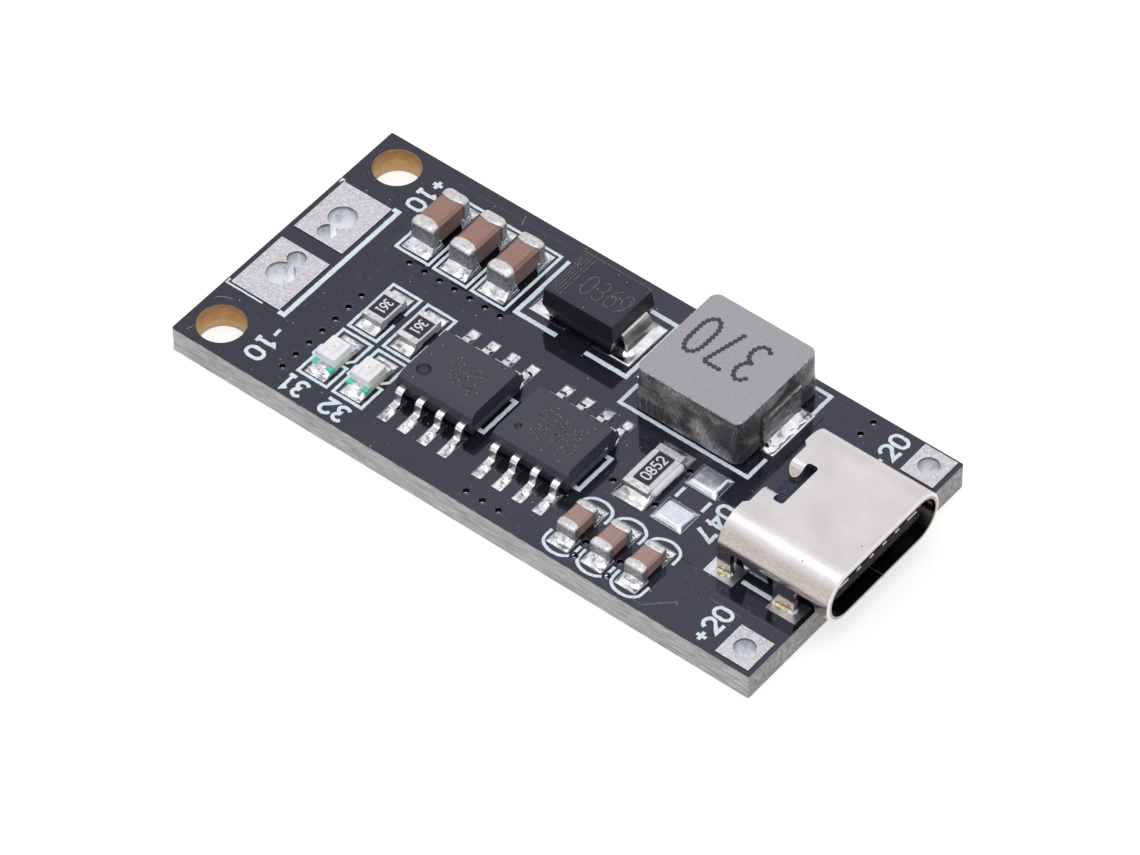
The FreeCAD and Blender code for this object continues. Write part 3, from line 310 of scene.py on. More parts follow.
pad_tin = tin("hot_tinned_pad", (178, 176, 181), (224, 221, 226), 0.1, 0.36, 0.2, 0.005)
# painted light on the plated walls: a painted shadow as a dark rim at the top, brighter below
painted_wall_light = pad_tin.ramp(pad_tin.spread(pad_tin.height(), 0.0, -BOARD_THICK), (0.0, (84, 86, 92)),
                    (0.05, (150, 154, 163)), (0.12, (198, 202, 211)), (1.0, (236, 238, 243)))
grime = pad_tin.spread(pad_tin.grain(0.35, 4.0, (1, 1, 2), 0.8), 0.52, 0.66, 0.0, 0.45)
pad_tin.tone_sides(0.4, 0.6, pad_tin.mix(grime, painted_wall_light, paint(138, 140, 149)))
land_tin = tin("tinned_land", (184, 185, 190), (218, 219, 224), 0.2, 0.26, 0.2, 0.003)
lead_tin = tin("bright_lead_tin", (186, 185, 188), (232, 231, 234), 0.18, 0.17, 0.2)
folded_tin = tin("folded_lead_tin", (172, 170, 167), (206, 204, 201), 0.5, 0.3, 0.3, 0.0015)
satin_tin = tin("satin_slot_tin", (196, 196, 203), (224, 224, 230), 0.3, 0.36, 0.36, 0.003)
plate_tin = tin("dull_terminal_tin", (58, 57, 60), (58, 57, 60), 0.25, 0.34, 0.36, 0.012)
plate_tin.tone_sides(0.4, 0.7, plate_tin.patches(
    0.18, 6.0, (0.34, (88, 87, 88)), (0.5, (136, 135, 135)), (0.68, (186, 185, 184)),
    stretch=(1, 3, 1), warp=0.6))
tins = (pad_tin, land_tin, lead_tin, folded_tin, satin_tin, plate_tin)
print("tin finishes:", [made.material.name for made in tins])

# %% [markdown]
# The parts' own end metal was fired on as a paste before it was plated, so it is grainier than
# the tin of the pads. The resistors and lamps have a smoother, thinner wrap. Both get a painted
# reflection of the board: a darker tone on their upright faces.

# %% End metal of the parts
end_metal = Finish("grainy_end_metal", Metallic=0.72)
end_metal.tone(0.13, 6.0, (0.3, (176, 175, 176)), (0.48, (204, 203, 203)), (0.72, (230, 229, 229)))
# painted reflection: upright faces darker, where they mirror the board
end_metal.tone_sides(0.25, 0.7, end_metal.patches(0.11, 6.0, (0.34, (120, 120, 123)), (0.5, (156, 156, 158)),
                                                  (0.68, (194, 194, 197))))
end_metal.gloss(0.2, 0.26, 0.44)
end_metal.relief((end_metal.grain(0.06, 4.0), 0.007), (end_metal.grain(0.4, 2.0), 0.018))

wrap_metal = Finish("bright_wrapped_end", Metallic=0.85)
wrap_metal.tone(0.2, 5.0, (0.34, (184, 183, 188)), (0.62, (232, 230, 236)))
# painted reflection: upright faces darker, where they mirror the board
wrap_metal.tone_sides(0.4, 0.7, wrap_metal.patches(0.1, 5.0, (0.34, (138, 132, 124)),
                                                   (0.66, (204, 198, 190))))
wrap_metal.gloss(0.3, 0.24, 0.4)
wrap_metal.relief((wrap_metal.grain(0.12, 4.0), 0.004))
print("end metals:", end_metal.material.name, wrap_metal.material.name)

# %% [markdown]
# Solder froze last and shines most. Where it flowed fast it has bright swells, and thin dark lines
# between them are a painted reflection; the lines are the places where a slow noise crosses its
# middle value. The wide pools cooled more slowly and are smoother, and so are the two pillows that
# carry no part.

# %% Solder
solder = Finish("rippled_solder", Metallic=1.0)
flow = solder.math("ABSOLUTE", solder.math("SUBTRACT", solder.grain(0.8, 1.5, warp=1.1), 0.5))
# painted reflection: thin dark lines where a slow noise crosses its middle value
painted_reflection_line = solder.spread(flow, 0.0, 0.022, 0.85, 0.0)
bright = solder.patches(0.45, 2.0, (0.3, (160, 160, 164)), (0.46, (216, 216, 222)), (0.62, (243, 244, 248)))
solder.set("Base Color", solder.mix(painted_reflection_line, bright, paint(96, 93, 92)))
solder.gloss(0.3, 0.08, 0.2, start=0.35)
solder.relief((solder.grain(0.6, 2.0), 0.03))

still_solder = Finish("smooth_land_solder", Metallic=1.0)
still_solder.tone(0.7, 3.0, (0.34, (150, 150, 152)), (0.46, (216, 216, 221)), (0.65, (242, 242, 247)),
                  warp=0.5)
still_solder.gloss(0.4, 0.1, 0.24, start=0.35)
still_solder.relief((still_solder.grain(0.8, 2.0), 0.012))

pillow_solder = Finish("smooth_bare_solder", Metallic=0.9)
pillow_solder.tone(0.6, 3.0, (0.3, (206, 213, 232)), (0.65, (230, 233, 243)))
pillow_solder.gloss(0.3, 0.14, 0.24, start=0.35)
pillow_solder.relief((pillow_solder.grain(0.4, 3.0), 0.006))
print("solder finishes:", [f.material.name for f in (solder, still_solder, pillow_solder)])

# %% [markdown]
# The moulded and fired parts come next: black epoxy mouldings with a fine matte grain, brown and
# tan capacitor ceramic, white resistor ceramic with a black glaze, and the lamps' cream base and
# milky lens. One helper makes them all. Where the sides of a part are darker than its top in soft
# light, they get a painted shade of their own, and the lens's sides get a painted light.

# %% Mouldings and ceramics
def matte(name, dark, light, size, rough, relief, dusty=False):
    """A matte body with grain about size mm across, and with specks of dust if it is dusty."""
    made = Finish(name)
    made.tone(size, 5.0, (0.3, dark), (0.7, light))
    if dusty:
        bare = made.shader.inputs["Base Color"].links[0].from_socket
        made.set("Base Color", dust(made, bare, 1.0, 0.055, 0.5))
    made.gloss(size * 3, rough - 0.07, rough + 0.07, detail=2.0)
    made.relief((made.grain(size * 0.6, 4.0), relief))
    return made


chip_mould = matte("black_chip_moulding", (40, 41, 54), (60, 61, 75), 0.07, 0.46, 0.006, True)
diode_mould = matte("black_diode_moulding", (20, 22, 40), (32, 34, 56), 0.12, 0.3, 0.002, True)
# painted shade: the diode's sides are darker than its top
diode_mould.tone_sides(0.5, 0.8, diode_mould.patches(0.15, 4.0, (0.3, (16, 16, 23)), (0.7, (32, 32, 41))))
cap_ceramic = matte("brown_capacitor_ceramic", (141, 106, 95), (163, 126, 115), 0.06, 0.34, 0.002)
# painted shade: the capacitor ceramic's sides are darker than its top
cap_ceramic.tone_sides(0.4, 0.8, cap_ceramic.patches(0.06, 5.0, (0.3, (112, 84, 75)), (0.7, (134, 103, 93))))
small_ceramic = matte("tan_capacitor_ceramic", (152, 119, 112), (179, 145, 138), 0.06, 0.36, 0.002)
white_ceramic = matte("white_ceramic", (204, 204, 208), (230, 230, 235), 0.15, 0.4, 0.004)
# painted shade: the resistor ceramic's sides are darker than its top
white_ceramic.tone_sides(0.4, 0.7, white_ceramic.patches(0.15, 4.0, (0.3, (150, 150, 156)),
                                                         (0.7, (184, 184, 190))))
glaze = matte("black_glaze", (12, 10, 18), (22, 20, 30), 0.2, 0.2, 0.003)
lamp_base = matte("cream_lamp_base", (206, 200, 184), (228, 224, 212), 0.2, 0.5, 0.004)
lens = matte("milky_lens", (238, 238, 245), (250, 250, 255), 0.35, 0.22, 0.003)
# painted light: the lens's sides are painted whiter than its top
lens.tone_sides(0.3, 0.8, paint(252, 253, 255))
lens.set("Subsurface Weight", 0.8)
lens.set("Subsurface Radius", (0.0009, 0.0009, 0.0008))
print("finishes so far:", len(bpy.data.materials))

# %% [markdown]
# The inductor is metal powder, pressed into a block. Its ground top is an even pale grey. Its
# sides slid along the press, so they are streaked upwards and darker in some places. Over that lie
# painted highlights: bright patches, and a pale line along the top edge that noise breaks up. Each
# of these is a layer over the last one.

# %% The inductor's pressed powder
core = Finish("pressed_powder_core")
ground_top = core.patches(0.07, 5.0, (0.3, (150, 146, 153)), (0.5, (163, 159, 166)), (0.72, (177, 173, 180)))
press_streaks = core.grain(0.06, 5.0, (1, 1, 4))
slid = core.ramp(press_streaks, (0.32, (66, 64, 67)), (0.52, (108, 105, 108)), (0.72, (180, 177, 179)))
# darker patches on the sides
dark_patches = core.spread(core.grain(1.9, 1.5), 0.4, 0.6, 0.0, 0.65)
slid = core.mix(dark_patches, slid, paint(52, 51, 54))
# painted highlights: bright patches on the sides
painted_highlights = core.spread(core.grain(1.3, 1.5, (1.3, 1.3, 1)), 0.48, 0.72, 0.0, 0.85)
slid = core.mix(painted_highlights, slid, core.ramp(press_streaks, (0.34, (150, 147, 147)), (0.64, (242, 238, 237))))
core_top = mm_box("inductor_body")[5]
# painted highlight: a pale line along the top edge, broken up by noise
edge_highlight_band = core.spread(core.height(), core_top - 0.14, core_top - 0.03)
highlight_breaks = core.spread(core.grain(0.14, 4.0), 0.42, 0.58, 0.15, 0.9)
slid = core.mix(core.math("MULTIPLY", edge_highlight_band, highlight_breaks), slid, paint(212, 208, 210))
on_top = core.spread(core.facing(), 0.55, 0.85)
core.set("Base Color", core.mix(on_top, slid, ground_top))
core.set("Metallic", core.spread(on_top, 0.0, 1.0, 0.55, 0.15))
core.gloss(0.3, 0.34, 0.5)
core.relief((core.grain(0.06, 4.0), 0.004), (core.grain(0.4, 3.0, (1, 1, 3)), 0.006))
print("core nodes:", len(core.tree.nodes))

# %% [markdown]
# The power inlet is a folded shell round a black moulding. The moulding's body shows through the
# slot in the roof, where a painted sheen for the light from above makes it slate blue. Its tongue
# carries the contacts and lies in the dark of the mouth, where a painted shade makes it nearly
# black, so the tone changes along the board's length.

# %% The inlet's moulding
inlet_x0, _, inlet_y0, inlet_y1, _, inlet_z1 = mm_box("inlet_shell")
TONGUE_START = 2.1
TONGUE_FADE = 0.1
plastic = Finish("black_inlet_moulding", Specular_IOR_Level=0.05)
tongue = plastic.spread(plastic.place("X"), spot(inlet_x0 + TONGUE_START, 0).x,
                        spot(inlet_x0 + TONGUE_START + TONGUE_FADE, 0).x)
# painted sheen behind the tongue, and painted shade on the tongue in the mouth
painted_sheen_tone = plastic.patches(0.25, 5.0, (0.3, (50, 54, 68)), (0.7, (72, 77, 94)))
painted_shade_tone = plastic.patches(0.2, 5.0, (0.3, (12, 12, 15)), (0.7, (24, 24, 28)))
plastic.set("Base Color", plastic.mix(tongue, painted_sheen_tone, painted_shade_tone))
plastic.gloss(0.3, 0.3, 0.45)
plastic.relief((plastic.grain(0.12, 4.0), 0.003))
print("inlet's back edge at", round(inlet_x0, 2), "mm")

# %% [markdown]
# The inlet's shell is rolled steel sheet under nickel, which is warmer than tin. The flat roof is
# smooth, with a few tiny pits. On the bends it is browner and streaky along its length. The cut
# faces at the mouth are bright.

# %% Nickel on the shell's outside
nickel = Finish("nickel_shell", Metallic=1.0)
flat = nickel.patches(2.5, 3.0, (0.35, (206, 201, 203)), (0.65, (218, 213, 215)))
flat = nickel.mix(nickel.specks(1.9, 0.09, 0.14), flat, paint(120, 114, 112))
# a browner tone, streaky along the length, for the bends
bend_tone = nickel.patches(0.05, 6.0, (0.3, (180, 170, 162)), (0.5, (198, 190, 183)), (0.7, (214, 207, 202)),
                       stretch=(5, 1, 1), warp=0.2)
brown_patches = nickel.spread(nickel.grain(0.7, 4.0, (2, 1, 1)), 0.45, 0.7, 0.0, 0.5)
bend_tone = nickel.mix(brown_patches, bend_tone, paint(176, 165, 156))
end_face = nickel.spread(nickel.facing("X"), 0.4, 0.6)
bend = nickel.math("MULTIPLY", nickel.spread(nickel.facing(), 0.8, 0.66),
                   nickel.math("SUBTRACT", 1.0, end_face))
outside = nickel.mix(end_face, nickel.mix(bend, flat, bend_tone), paint(228, 226, 230))
level = nickel.spread(nickel.facing(), 0.05, 0.5, 0.08, 0.28)
wander = nickel.spread(nickel.grain(0.4, 4.0), 0.3, 0.7, 0.0, 0.08)
nickel.set("Roughness", nickel.math("ADD", level, wander))
nickel.relief((nickel.grain(1.5, 2.0), 0.004), (nickel.grain(0.05, 3.0, (6, 1, 1)), 0.0006))
print("nickel nodes so far:", len(nickel.tree.nodes))

# %% [markdown]
# The shell's inside gets painted light: a pale brown painted reflection on its upright walls and a
# dark painted shade on its level faces. The same sheet has both faces, so the finish has to tell
# them apart: it measures how far a point lies from the shell's long axis, and the middle of the
# sheet is the border. The legs and the tabs, which leave the rounded shell, count as outside. The
# contacts in the mouth are gilt.

# %% Nickel on the shell's inside, and gilt contacts
SHELL_R, SHEET_MIDDLE_R = 1.58, 1.42
TAB_DEPTH = 1.7
LEGS_BELOW = 0.1
axis_y, axis_z = (inlet_y0 + inlet_y1) / 2, inlet_z1 - SHELL_R
half_flat = (inlet_y1 - inlet_y0) / 2 - SHELL_R
across = nickel.math("ABSOLUTE", nickel.math("SUBTRACT", nickel.place("Y"), spot(0, axis_y).y))
across = nickel.math("MAXIMUM", nickel.math("SUBTRACT", across, half_flat * MM), 0.0)
rise = nickel.math("SUBTRACT", nickel.place("Z"), spot(0, 0, axis_z).z)
squares = [nickel.math("POWER", side, 2.0) for side in (across, rise)]
radius = nickel.math("SQRT", nickel.math("ADD", *squares))
inner = nickel.math("LESS_THAN", radius, SHEET_MIDDLE_R * MM)
above_board = nickel.math("GREATER_THAN", nickel.place("Z"), spot(0, 0, LEGS_BELOW).z)
past_tabs = nickel.math("GREATER_THAN", nickel.place("X"), spot(inlet_x0 + TAB_DEPTH, 0).x)
inner = nickel.math("MULTIPLY", nickel.math("MULTIPLY", inner, above_board), past_tabs)
# painted light inside the shell: pale brown painted reflection on upright walls, painted shade on level faces
painted_inside = nickel.mix(nickel.spread(nickel.facing(), 0.5, 0.85), paint(168, 160, 148), paint(46, 45, 48))
nickel.set("Base Color", nickel.mix(inner, outside, painted_inside))
gilt = tin("gilt_contact", (188, 176, 150), (226, 218, 198), 0.3, 0.3, 0.3)
print("shell's long axis at", round(axis_y, 2), "mm across and", round(axis_z, 2), "mm high")

# %% [markdown]
# Each CAD node now gets its finish. The CAD meshes keep their shape. A bevel modifier rounds the
# edges of many parts a little, because a dead sharp edge shows no highlight and looks drawn. The
# numbers in the tables are the widths of those bevels in millimetres.

# %% Dress the CAD nodes
WELD_WITHIN = 0.001
SHARP_FROM = math.radians(40)


def dress(node, finish, edge):
    thing = frame["nodes"][node]
    thing.data.materials.clear()
    thing.data.materials.append(finish.material)
    if edge:
        weld = thing.modifiers.new("weld", "WELD")
        weld.merge_threshold = WELD_WITHIN * MM
        bevel = thing.modifiers.new("soft_edges", "BEVEL")
        bevel.width = edge * MM
        bevel.segments = 3
        bevel.limit_method = "ANGLE"
        bevel.angle_limit = SHARP_FROM
        bevel.harden_normals = True


finishes = {
    "board_laminate": (mask, 0.0), "pad_tin": (pad_tin, 0.0), "land_tin": (land_tin, 0.0),
    "capacitor_ceramic": (cap_ceramic, 0.03), "small_capacitor_ceramic": (small_ceramic, 0.03),
    "terminal_tin": (end_metal, 0.0), "resistor_ceramic": (white_ceramic, 0.0),
    "resistor_glaze": (glaze, 0.0), "lamp_base": (lamp_base, 0.0), "lamp_lens": (lens, 0.07),
    "chip_mould": (chip_mould, 0.05), "lead_tin": (lead_tin, 0.03), "diode_mould": (diode_mould, 0.06),
    "inductor_core": (core, 0.06), "inductor_lead": (plate_tin, 0.03),
    "inlet_shell_steel": (nickel, 0.0), "inlet_plastic": (plastic, 0.0),
    "contact_alloy": (gilt, 0.0), "solder": (solder, 0.0),
}
wrapped = (wrap_metal, 0.02)
own_finishes = {"diode_leads": (folded_tin, 0.03), "inlet_leg_lands": (satin_tin, 0.0),
                "inlet_leg_solder": (satin_tin, 0.0), "resistor_1_terminals": wrapped,
                "resistor_2_terminals": wrapped, "sense_resistor_terminals": wrapped,
                "indicator_1_terminals": (wrap_metal, 0.0), "indicator_2_terminals": (wrap_metal, 0.0)}
for entry in frame["record"]["subparts"]:
    dress(entry["node"], *(own_finishes.get(entry["node"]) or finishes[entry["material_slot"]]))

# %% [markdown]
# New pieces are plain meshes in the same frame. Every one rides on the only body, takes its
# finish, and has smooth shading where the form is soft. The helper prints the name of each piece
# and how many faces it has.

# %% Make a piece from vertices and faces
def put_in_scene(name, data):
    thing = bpy.data.objects.new(name, data)
    bpy.context.scene.collection.objects.link(thing)
    return thing


def piece(name, bm, finish, smooth=True):
    """A mesh object that rides on the body, from a bmesh that is used up."""
    mesh = bpy.data.meshes.new(name)
    bmesh.ops.recalc_face_normals(bm, faces=bm.faces)
    bm.to_mesh(mesh)
    bm.free()
    thing = put_in_scene(name, mesh)
    mesh.materials.append(finish.material)
    for face in mesh.polygons:
        face.use_smooth = smooth
    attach(thing, "root")
    print(name + ":", len(mesh.polygons), "faces")
    return thing


# %% [markdown]
# The white lines on the board are ink that was pressed through a screen. It dried matte and a
# little uneven, with a faint blue in its white.

# %% Ink
ink = Finish("pale_printed_ink", Roughness=0.55)
ink.tone(0.12, 4.0, (0.3, (206, 222, 238)), (0.6, (228, 240, 250)))
ink.relief((ink.grain(0.1, 3.0), 0.006))
print("ink nodes:", len(ink.tree.nodes))

# %% [markdown]
# The ink is about 0.02 mm thick, and its edges follow the weave of the screen. Each line is a
# ribbon along a path with mitred corners. The path is cut into short steps and both edges wander
# by a hundredth of a millimetre, with seeded numbers so that every run prints the same board. Its
# top climbs by a hair at every step, so that a line that crosses itself never has two faces in
# one plane.

# %% The ribbon that draws with it
INK_RISE = 0.02
INK_STEP = 0.16
CLIMB = 0.00006
ARCH_STEPS = 10
print_wander = random.Random(7)


def stepped(points, closed):
    """The path cut into short steps that keep its corners."""
    fine = []
    ends = points[1:] + points[:1] if closed else points[1:]
    for start, end in zip(points, ends):
        count = max(1, round((end - start).length / INK_STEP))
        fine.extend(start.lerp(end, i / count) for i in range(count))
    return fine if closed else fine + [points[-1]]


def mitre(run_in, run_out):
    """The sideways direction at a corner, and what a reach is divided by there."""
    side_in = Vector((-run_in.y, run_in.x))
    side = (side_in + Vector((-run_out.y, run_out.x))).normalized()
    return side, max(0.5, side.dot(side_in))


def ribbon(bm, points, width, closed=False, rise=INK_RISE, wander=0.012, base=0.0):
    """A raised ribbon along board points, with mitred corners and slightly uneven edges."""
    path = stepped([Vector(p) for p in points], closed)
    count = len(path)
    rows = []
    for i, here in enumerate(path):
        before = path[i - 1] if closed or i else None
        after = path[(i + 1) % count] if closed or i + 1 < count else None
        run_in = (here - before).normalized() if before is not None else None
        run_out = (after - here).normalized() if after is not None else run_in
        side, narrow = mitre(run_in if run_in is not None else run_out, run_out)
        reach = width / 2 / narrow
        row = []
        crest = base + rise + i * CLIMB
        for sign in (1, -1):
            edge = here + side * sign * (reach + print_wander.uniform(-wander, wander))
            row.append(bm.verts.new(spot(edge.x, edge.y, crest)))
            row.append(bm.verts.new(spot(edge.x, edge.y, base)))
        rows.append(row)
    pairs = list(zip(rows, rows[1:] + rows[:1])) if closed else list(zip(rows, rows[1:]))
    for a, b in pairs:
        bm.faces.new((a[0], b[0], b[2], a[2]))
        bm.faces.new((a[1], a[3], b[3], b[1]))
        bm.faces.new((a[0], a[1], b[1], b[0]))
        bm.faces.new((a[2], b[2], b[3], a[3]))
    if not closed:
        bm.faces.new((rows[0][0], rows[0][2], rows[0][3], rows[0][1]))
        bm.faces.new((rows[-1][0], rows[-1][1], rows[-1][3], rows[-1][2]))


def frame_path(x0, x1, y0, y1):
    """The four corners of a rectangle, anticlockwise."""
    return [(x0, y0), (x1, y0), (x1, y1), (x0, y1)]


def arch(x, half, y_leg, y_turn, y_top):
    """Two legs and a round arch between them."""
    bend = [(x + half * math.cos(a), y_turn + (y_top - y_turn) * math.sin(a))
            for a in [math.pi * i / ARCH_STEPS for i in range(ARCH_STEPS + 1)]]
    return [(x + half, y_leg)] + bend + [(x - half, y_leg)]


print("points in a 1 mm line:", len(stepped([Vector((0, 0)), Vector((1, 0))], False)))

# %% [markdown]
# Every part has its own printed border, so that a person can see where it belongs. The borders
# follow the parts: their centres are read from the frame and only the margins are written here.

# %% Printed borders round the parts
def centre_of(node):
    x0, x1, y0, y1 = mm_box(node)[:4]
    return (x0 + x1) / 2, (y0 + y1) / 2


LINE, CHIP_LINE, DIODE_LINE, INDUCTOR_LINE, DASH_LINE, INLET_LINE = 0.17, 0.23, 0.26, 0.22, 0.19, 0.25
borders = bmesh.new()
for i in (1, 2, 3):
    x, y = centre_of(f"large_capacitor_{i}_body")
    ribbon(borders, frame_path(x - 1.06, x + 1.06, y - 2.27, y + 2.33), LINE, True)
for i in (1, 2):
    x, y = centre_of(f"resistor_{i}_substrate")
    ribbon(borders, [(x + 0.9, y - 0.31), (x + 0.9, y - 1.72), (x - 0.9, y - 1.72),
                     (x - 0.9, y + 1.8), (x + 0.9, y + 1.8), (x + 0.9, y + 0.5)], LINE)
    x, y = centre_of(f"indicator_{i}_base")
    ribbon(borders, [(x + 0.62, y + 0.12), (x + 0.92, y + 0.47), (x + 0.92, y + 1.82),
                     (x - 0.92, y + 1.82), (x - 0.92, y + 0.42), (x - 1.08, y + 0.32),
                     (x - 1.08, y - 0.32), (x - 0.92, y - 0.42), (x - 0.92, y - 1.7),
                     (x + 0.92, y - 1.7), (x + 0.92, y - 0.13), (x + 0.6, y - 0.13)], LINE)
for i in (1, 2, 3):
    x, y = centre_of(f"small_capacitor_{i}_body")
    ribbon(borders, arch(x, 0.9, y + 0.97, y + 1.45, y + 2.1), LINE)
    ribbon(borders, arch(x, 0.9, y - 0.85, y - 1.4, y - 2.0), LINE)
for name in ("charge_chip_body", "switch_chip_body"):
    x, y = centre_of(name)
    ribbon(borders, [(x + 2.0, y - 1.24), (x + 2.56, y - 1.24), (x + 2.56, y + 1.28),
                     (x + 2.0, y + 1.28)], CHIP_LINE)
x, y = centre_of("diode_body")
ribbon(borders, [(x - 3.58, y + 2.2), (x - 3.58, y - 2.14), (x - 0.97, y - 2.14)], DIODE_LINE)
ribbon(borders, [(x + 0.85, y - 2.14), (x + 3.46, y - 2.14), (x + 3.46, y + 2.1), (x + 1.7, y + 2.1)],
       DIODE_LINE)
x, y = centre_of("inductor_body")
for side in (-1, 1):
    ribbon(borders, [(x - 4.05, y + side * 1.88), (x - 4.05, y + side * 3.38),
                     (x + 3.93, y + side * 3.38), (x + 3.93, y + side * 1.88)],
           INDUCTOR_LINE)
x, y = centre_of("sense_resistor_substrate")
for dash_x in (0.82, 1.62, 3.24):
    ribbon(borders, [(x + dash_x, y - 0.36), (x + dash_x, y + 0.38)], DASH_LINE)
x, y = centre_of("inlet_shell")
for side in (-1, 1):
    ribbon(borders, [(x - 1.87, y + side * 4.36), (x - 0.07, y + side * 4.36)], INLET_LINE)
piece("printed_borders", borders, ink, smooth=False)

# %% [markdown]
# The battery pads are framed by one thick line on their inner side and by thin corners at the
# board's end, where most of the ink has gone.

# %% Printed lines at the battery pads
battery_lines = bmesh.new()
for path, width in (([(3.5, 4.13), (3.86, 4.13), (3.86, 13.1), (3.5, 13.1)], 0.27),
                    ([(0.14, 4.36), (0.14, 4.06), (2.5, 4.06)], 0.1),
                    ([(0.14, 12.92), (0.14, 13.14), (0.3, 13.14)], 0.11)):
    ribbon(battery_lines, path, width)
piece("printed_battery_lines", battery_lines, ink, smooth=False)

# %% [markdown]
# The board and some of its parts carry plain signs and numbers. Board makers draw figures with a
# pen of one width, so each figure is a set of strokes in a cell 1 wide and 1.6 high.

# %% Strokes of the plain figures
CELL_HIGH = 1.6


def arc(x, y, rx, ry, start, end, steps=8):
    """Points along a part of an oval, between two angles in degrees."""
    return [(x + rx * math.cos(math.radians(start + (end - start) * i / steps)),
             y + ry * math.sin(math.radians(start + (end - start) * i / steps)))
            for i in range(steps + 1)]


STROKES = {
    "0": [arc(0.5, 1.1, 0.5, 0.5, 0, 180) + arc(0.5, 0.5, 0.5, 0.5, 180, 360) + [(1, 1.1)]],
    "1": [[(0.15, 1.25), (0.5, 1.6), (0.5, 0)], [(0.15, 0), (0.85, 0)]],
    "2": [arc(0.5, 1.1, 0.5, 0.5, 170, -30) + [(0, 0), (1, 0)]],
    "3": [arc(0.5, 1.2, 0.45, 0.4, 150, -90) + arc(0.5, 0.4, 0.5, 0.4, 90, -150)],
    "4": [[(0.75, 0), (0.75, 1.6), (0, 0.5), (1, 0.5)]],
    "5": [[(0.9, 1.6), (0.15, 1.6), (0.1, 0.95)] + arc(0.5, 0.5, 0.5, 0.5, 100, -150)],
    "6": [[(0.85, 1.6), (0.25, 1.2)] + arc(0.5, 0.5, 0.5, 0.5, 180, -170, 14)],
    "7": [[(0, 1.6), (1, 1.6), (0.35, 0)]],
    "8": [arc(0.5, 1.2, 0.4, 0.4, -90, 270, 12) + arc(0.5, 0.4, 0.5, 0.4, 90, -270, 12)],
    "9": [[(0.15, 0), (0.75, 0.4)] + arc(0.5, 1.1, 0.5, 0.5, 0, 350, 14)],
    "-": [[(0.1, 0.8), (0.9, 0.8)]],
    "+": [[(0.05, 0.8), (0.95, 0.8)], [(0.5, 0.35), (0.5, 1.25)]],
}
print("figures that can be drawn:", "".join(STROKES))

# %% [markdown]
# A row of figures is centred on a point and turned as a whole, because a board is read from more
# than one side. The ribbon from above follows the strokes. Strokes that cross get heights that
# differ by a hair.

# %% Printed figures
def figure_paths(signs, x, y, high, turn, slim=1.0, step=1.4):
    """The strokes of a row of figures, centred on a board point and turned in degrees."""
    unit = high / CELL_HIGH
    ahead = Vector((math.cos(math.radians(turn)), math.sin(math.radians(turn))))
    upward = Vector((-ahead.y, ahead.x))
    paths = []
    for i, sign in enumerate(signs):
        for stroke in STROKES[sign]:
            shift = (i - (len(signs) - 1) / 2) * step - 0.5
            paths.append([Vector((x, y)) + ahead * (px + shift) * unit * slim
                          + upward * (py - CELL_HIGH / 2) * unit for px, py in stroke])
    return paths


OVERLAP_STEP = 0.0015
FIGURE_HIGH, FIGURE_PEN = 0.98, 0.2
board_marks = bmesh.new()
for signs, x, y, turn in (("-10", 4.37, 2.15, -90), ("+10", 4.22, 14.95, -90), ("31", 7.3, 0.8, 180),
                          ("32", 9.93, 0.8, 180), ("047", 29.22, 6.7, -90), ("+20", 33.05, 1.48, 90),
                          ("-20", 33.05, 15.6, 90)):
    for i, path in enumerate(figure_paths(signs, x, y, FIGURE_HIGH, turn)):
        ribbon(board_marks, path, FIGURE_PEN, rise=INK_RISE + i % 5 * OVERLAP_STEP, wander=0.02)
piece("printed_figures", board_marks, ink, smooth=False)

# %% [markdown]
# Resistors carry white figures fired into the glaze. The chips and the diode were marked with a
# laser, which burns the black epoxy to a faint sandy grey and leaves fine, broken lines. The same
# strokes serve for all of them, with a thinner pen and a finish of their own.

# %% Figures on the parts
fired_white = Finish("fired_white_figure", Roughness=0.4)
fired_white.tone(0.08, 3.0, (0.3, (206, 205, 210)), (0.6, (234, 233, 238)))
burnt = Finish("laser_burnt_figure", Roughness=0.75)
burnt.tone(0.07, 3.0, (0.44, (32, 32, 35)), (0.6, (118, 106, 90)))
band_burnt = Finish("laser_burnt_band", Roughness=0.7)
band_burnt.tone(0.15, 3.0, (0.35, (54, 52, 56)), (0.62, (128, 119, 108)))
MARK_RISE = 0.006


def part_figures(name, node, finish, rows, pen):
    """Rows of (signs, dx, dy, height, turn, slim) on top of a part, from its middle."""
    x, y = centre_of(node)
    top = mm_box(node)[5]
    bm = bmesh.new()
    for signs, dx, dy, high, turn, slim in rows:
        for i, path in enumerate(figure_paths(signs, x + dx, y + dy, high, turn, slim)):
            ribbon(bm, path, pen, rise=MARK_RISE + i % 5 * OVERLAP_STEP, wander=0.004, base=top)
    piece(name, bm, finish, smooth=False)


for i in (1, 2):
    part_figures(f"resistor_{i}_figures", f"resistor_{i}_glaze", fired_white,
                 [("361", 0.02, 0.0, 0.52, -90, 0.72)], 0.085)
part_figures("sense_resistor_figures", "sense_resistor_glaze", fired_white,
             [("0852", 0.0, 0.0, 0.56, 90, 0.86)], 0.09)
part_figures("charge_chip_figures", "charge_chip_body", burnt,
             [("01234", 0.35, 0.42, 0.62, 0, 0.8), ("5678", 0.42, -0.42, 0.62, 0, 0.8)], 0.07)
part_figures("switch_chip_figures", "switch_chip_body", burnt,
             [("02468", 0.2, 0.5, 0.8, 0, 0.8), ("135790", 0.1, -0.6, 0.8, 0, 0.78)], 0.08)
part_figures("diode_figures", "diode_body", band_burnt,
             [("0369", 0.62, -0.08, 1.35, 0, 0.62)], 0.05)

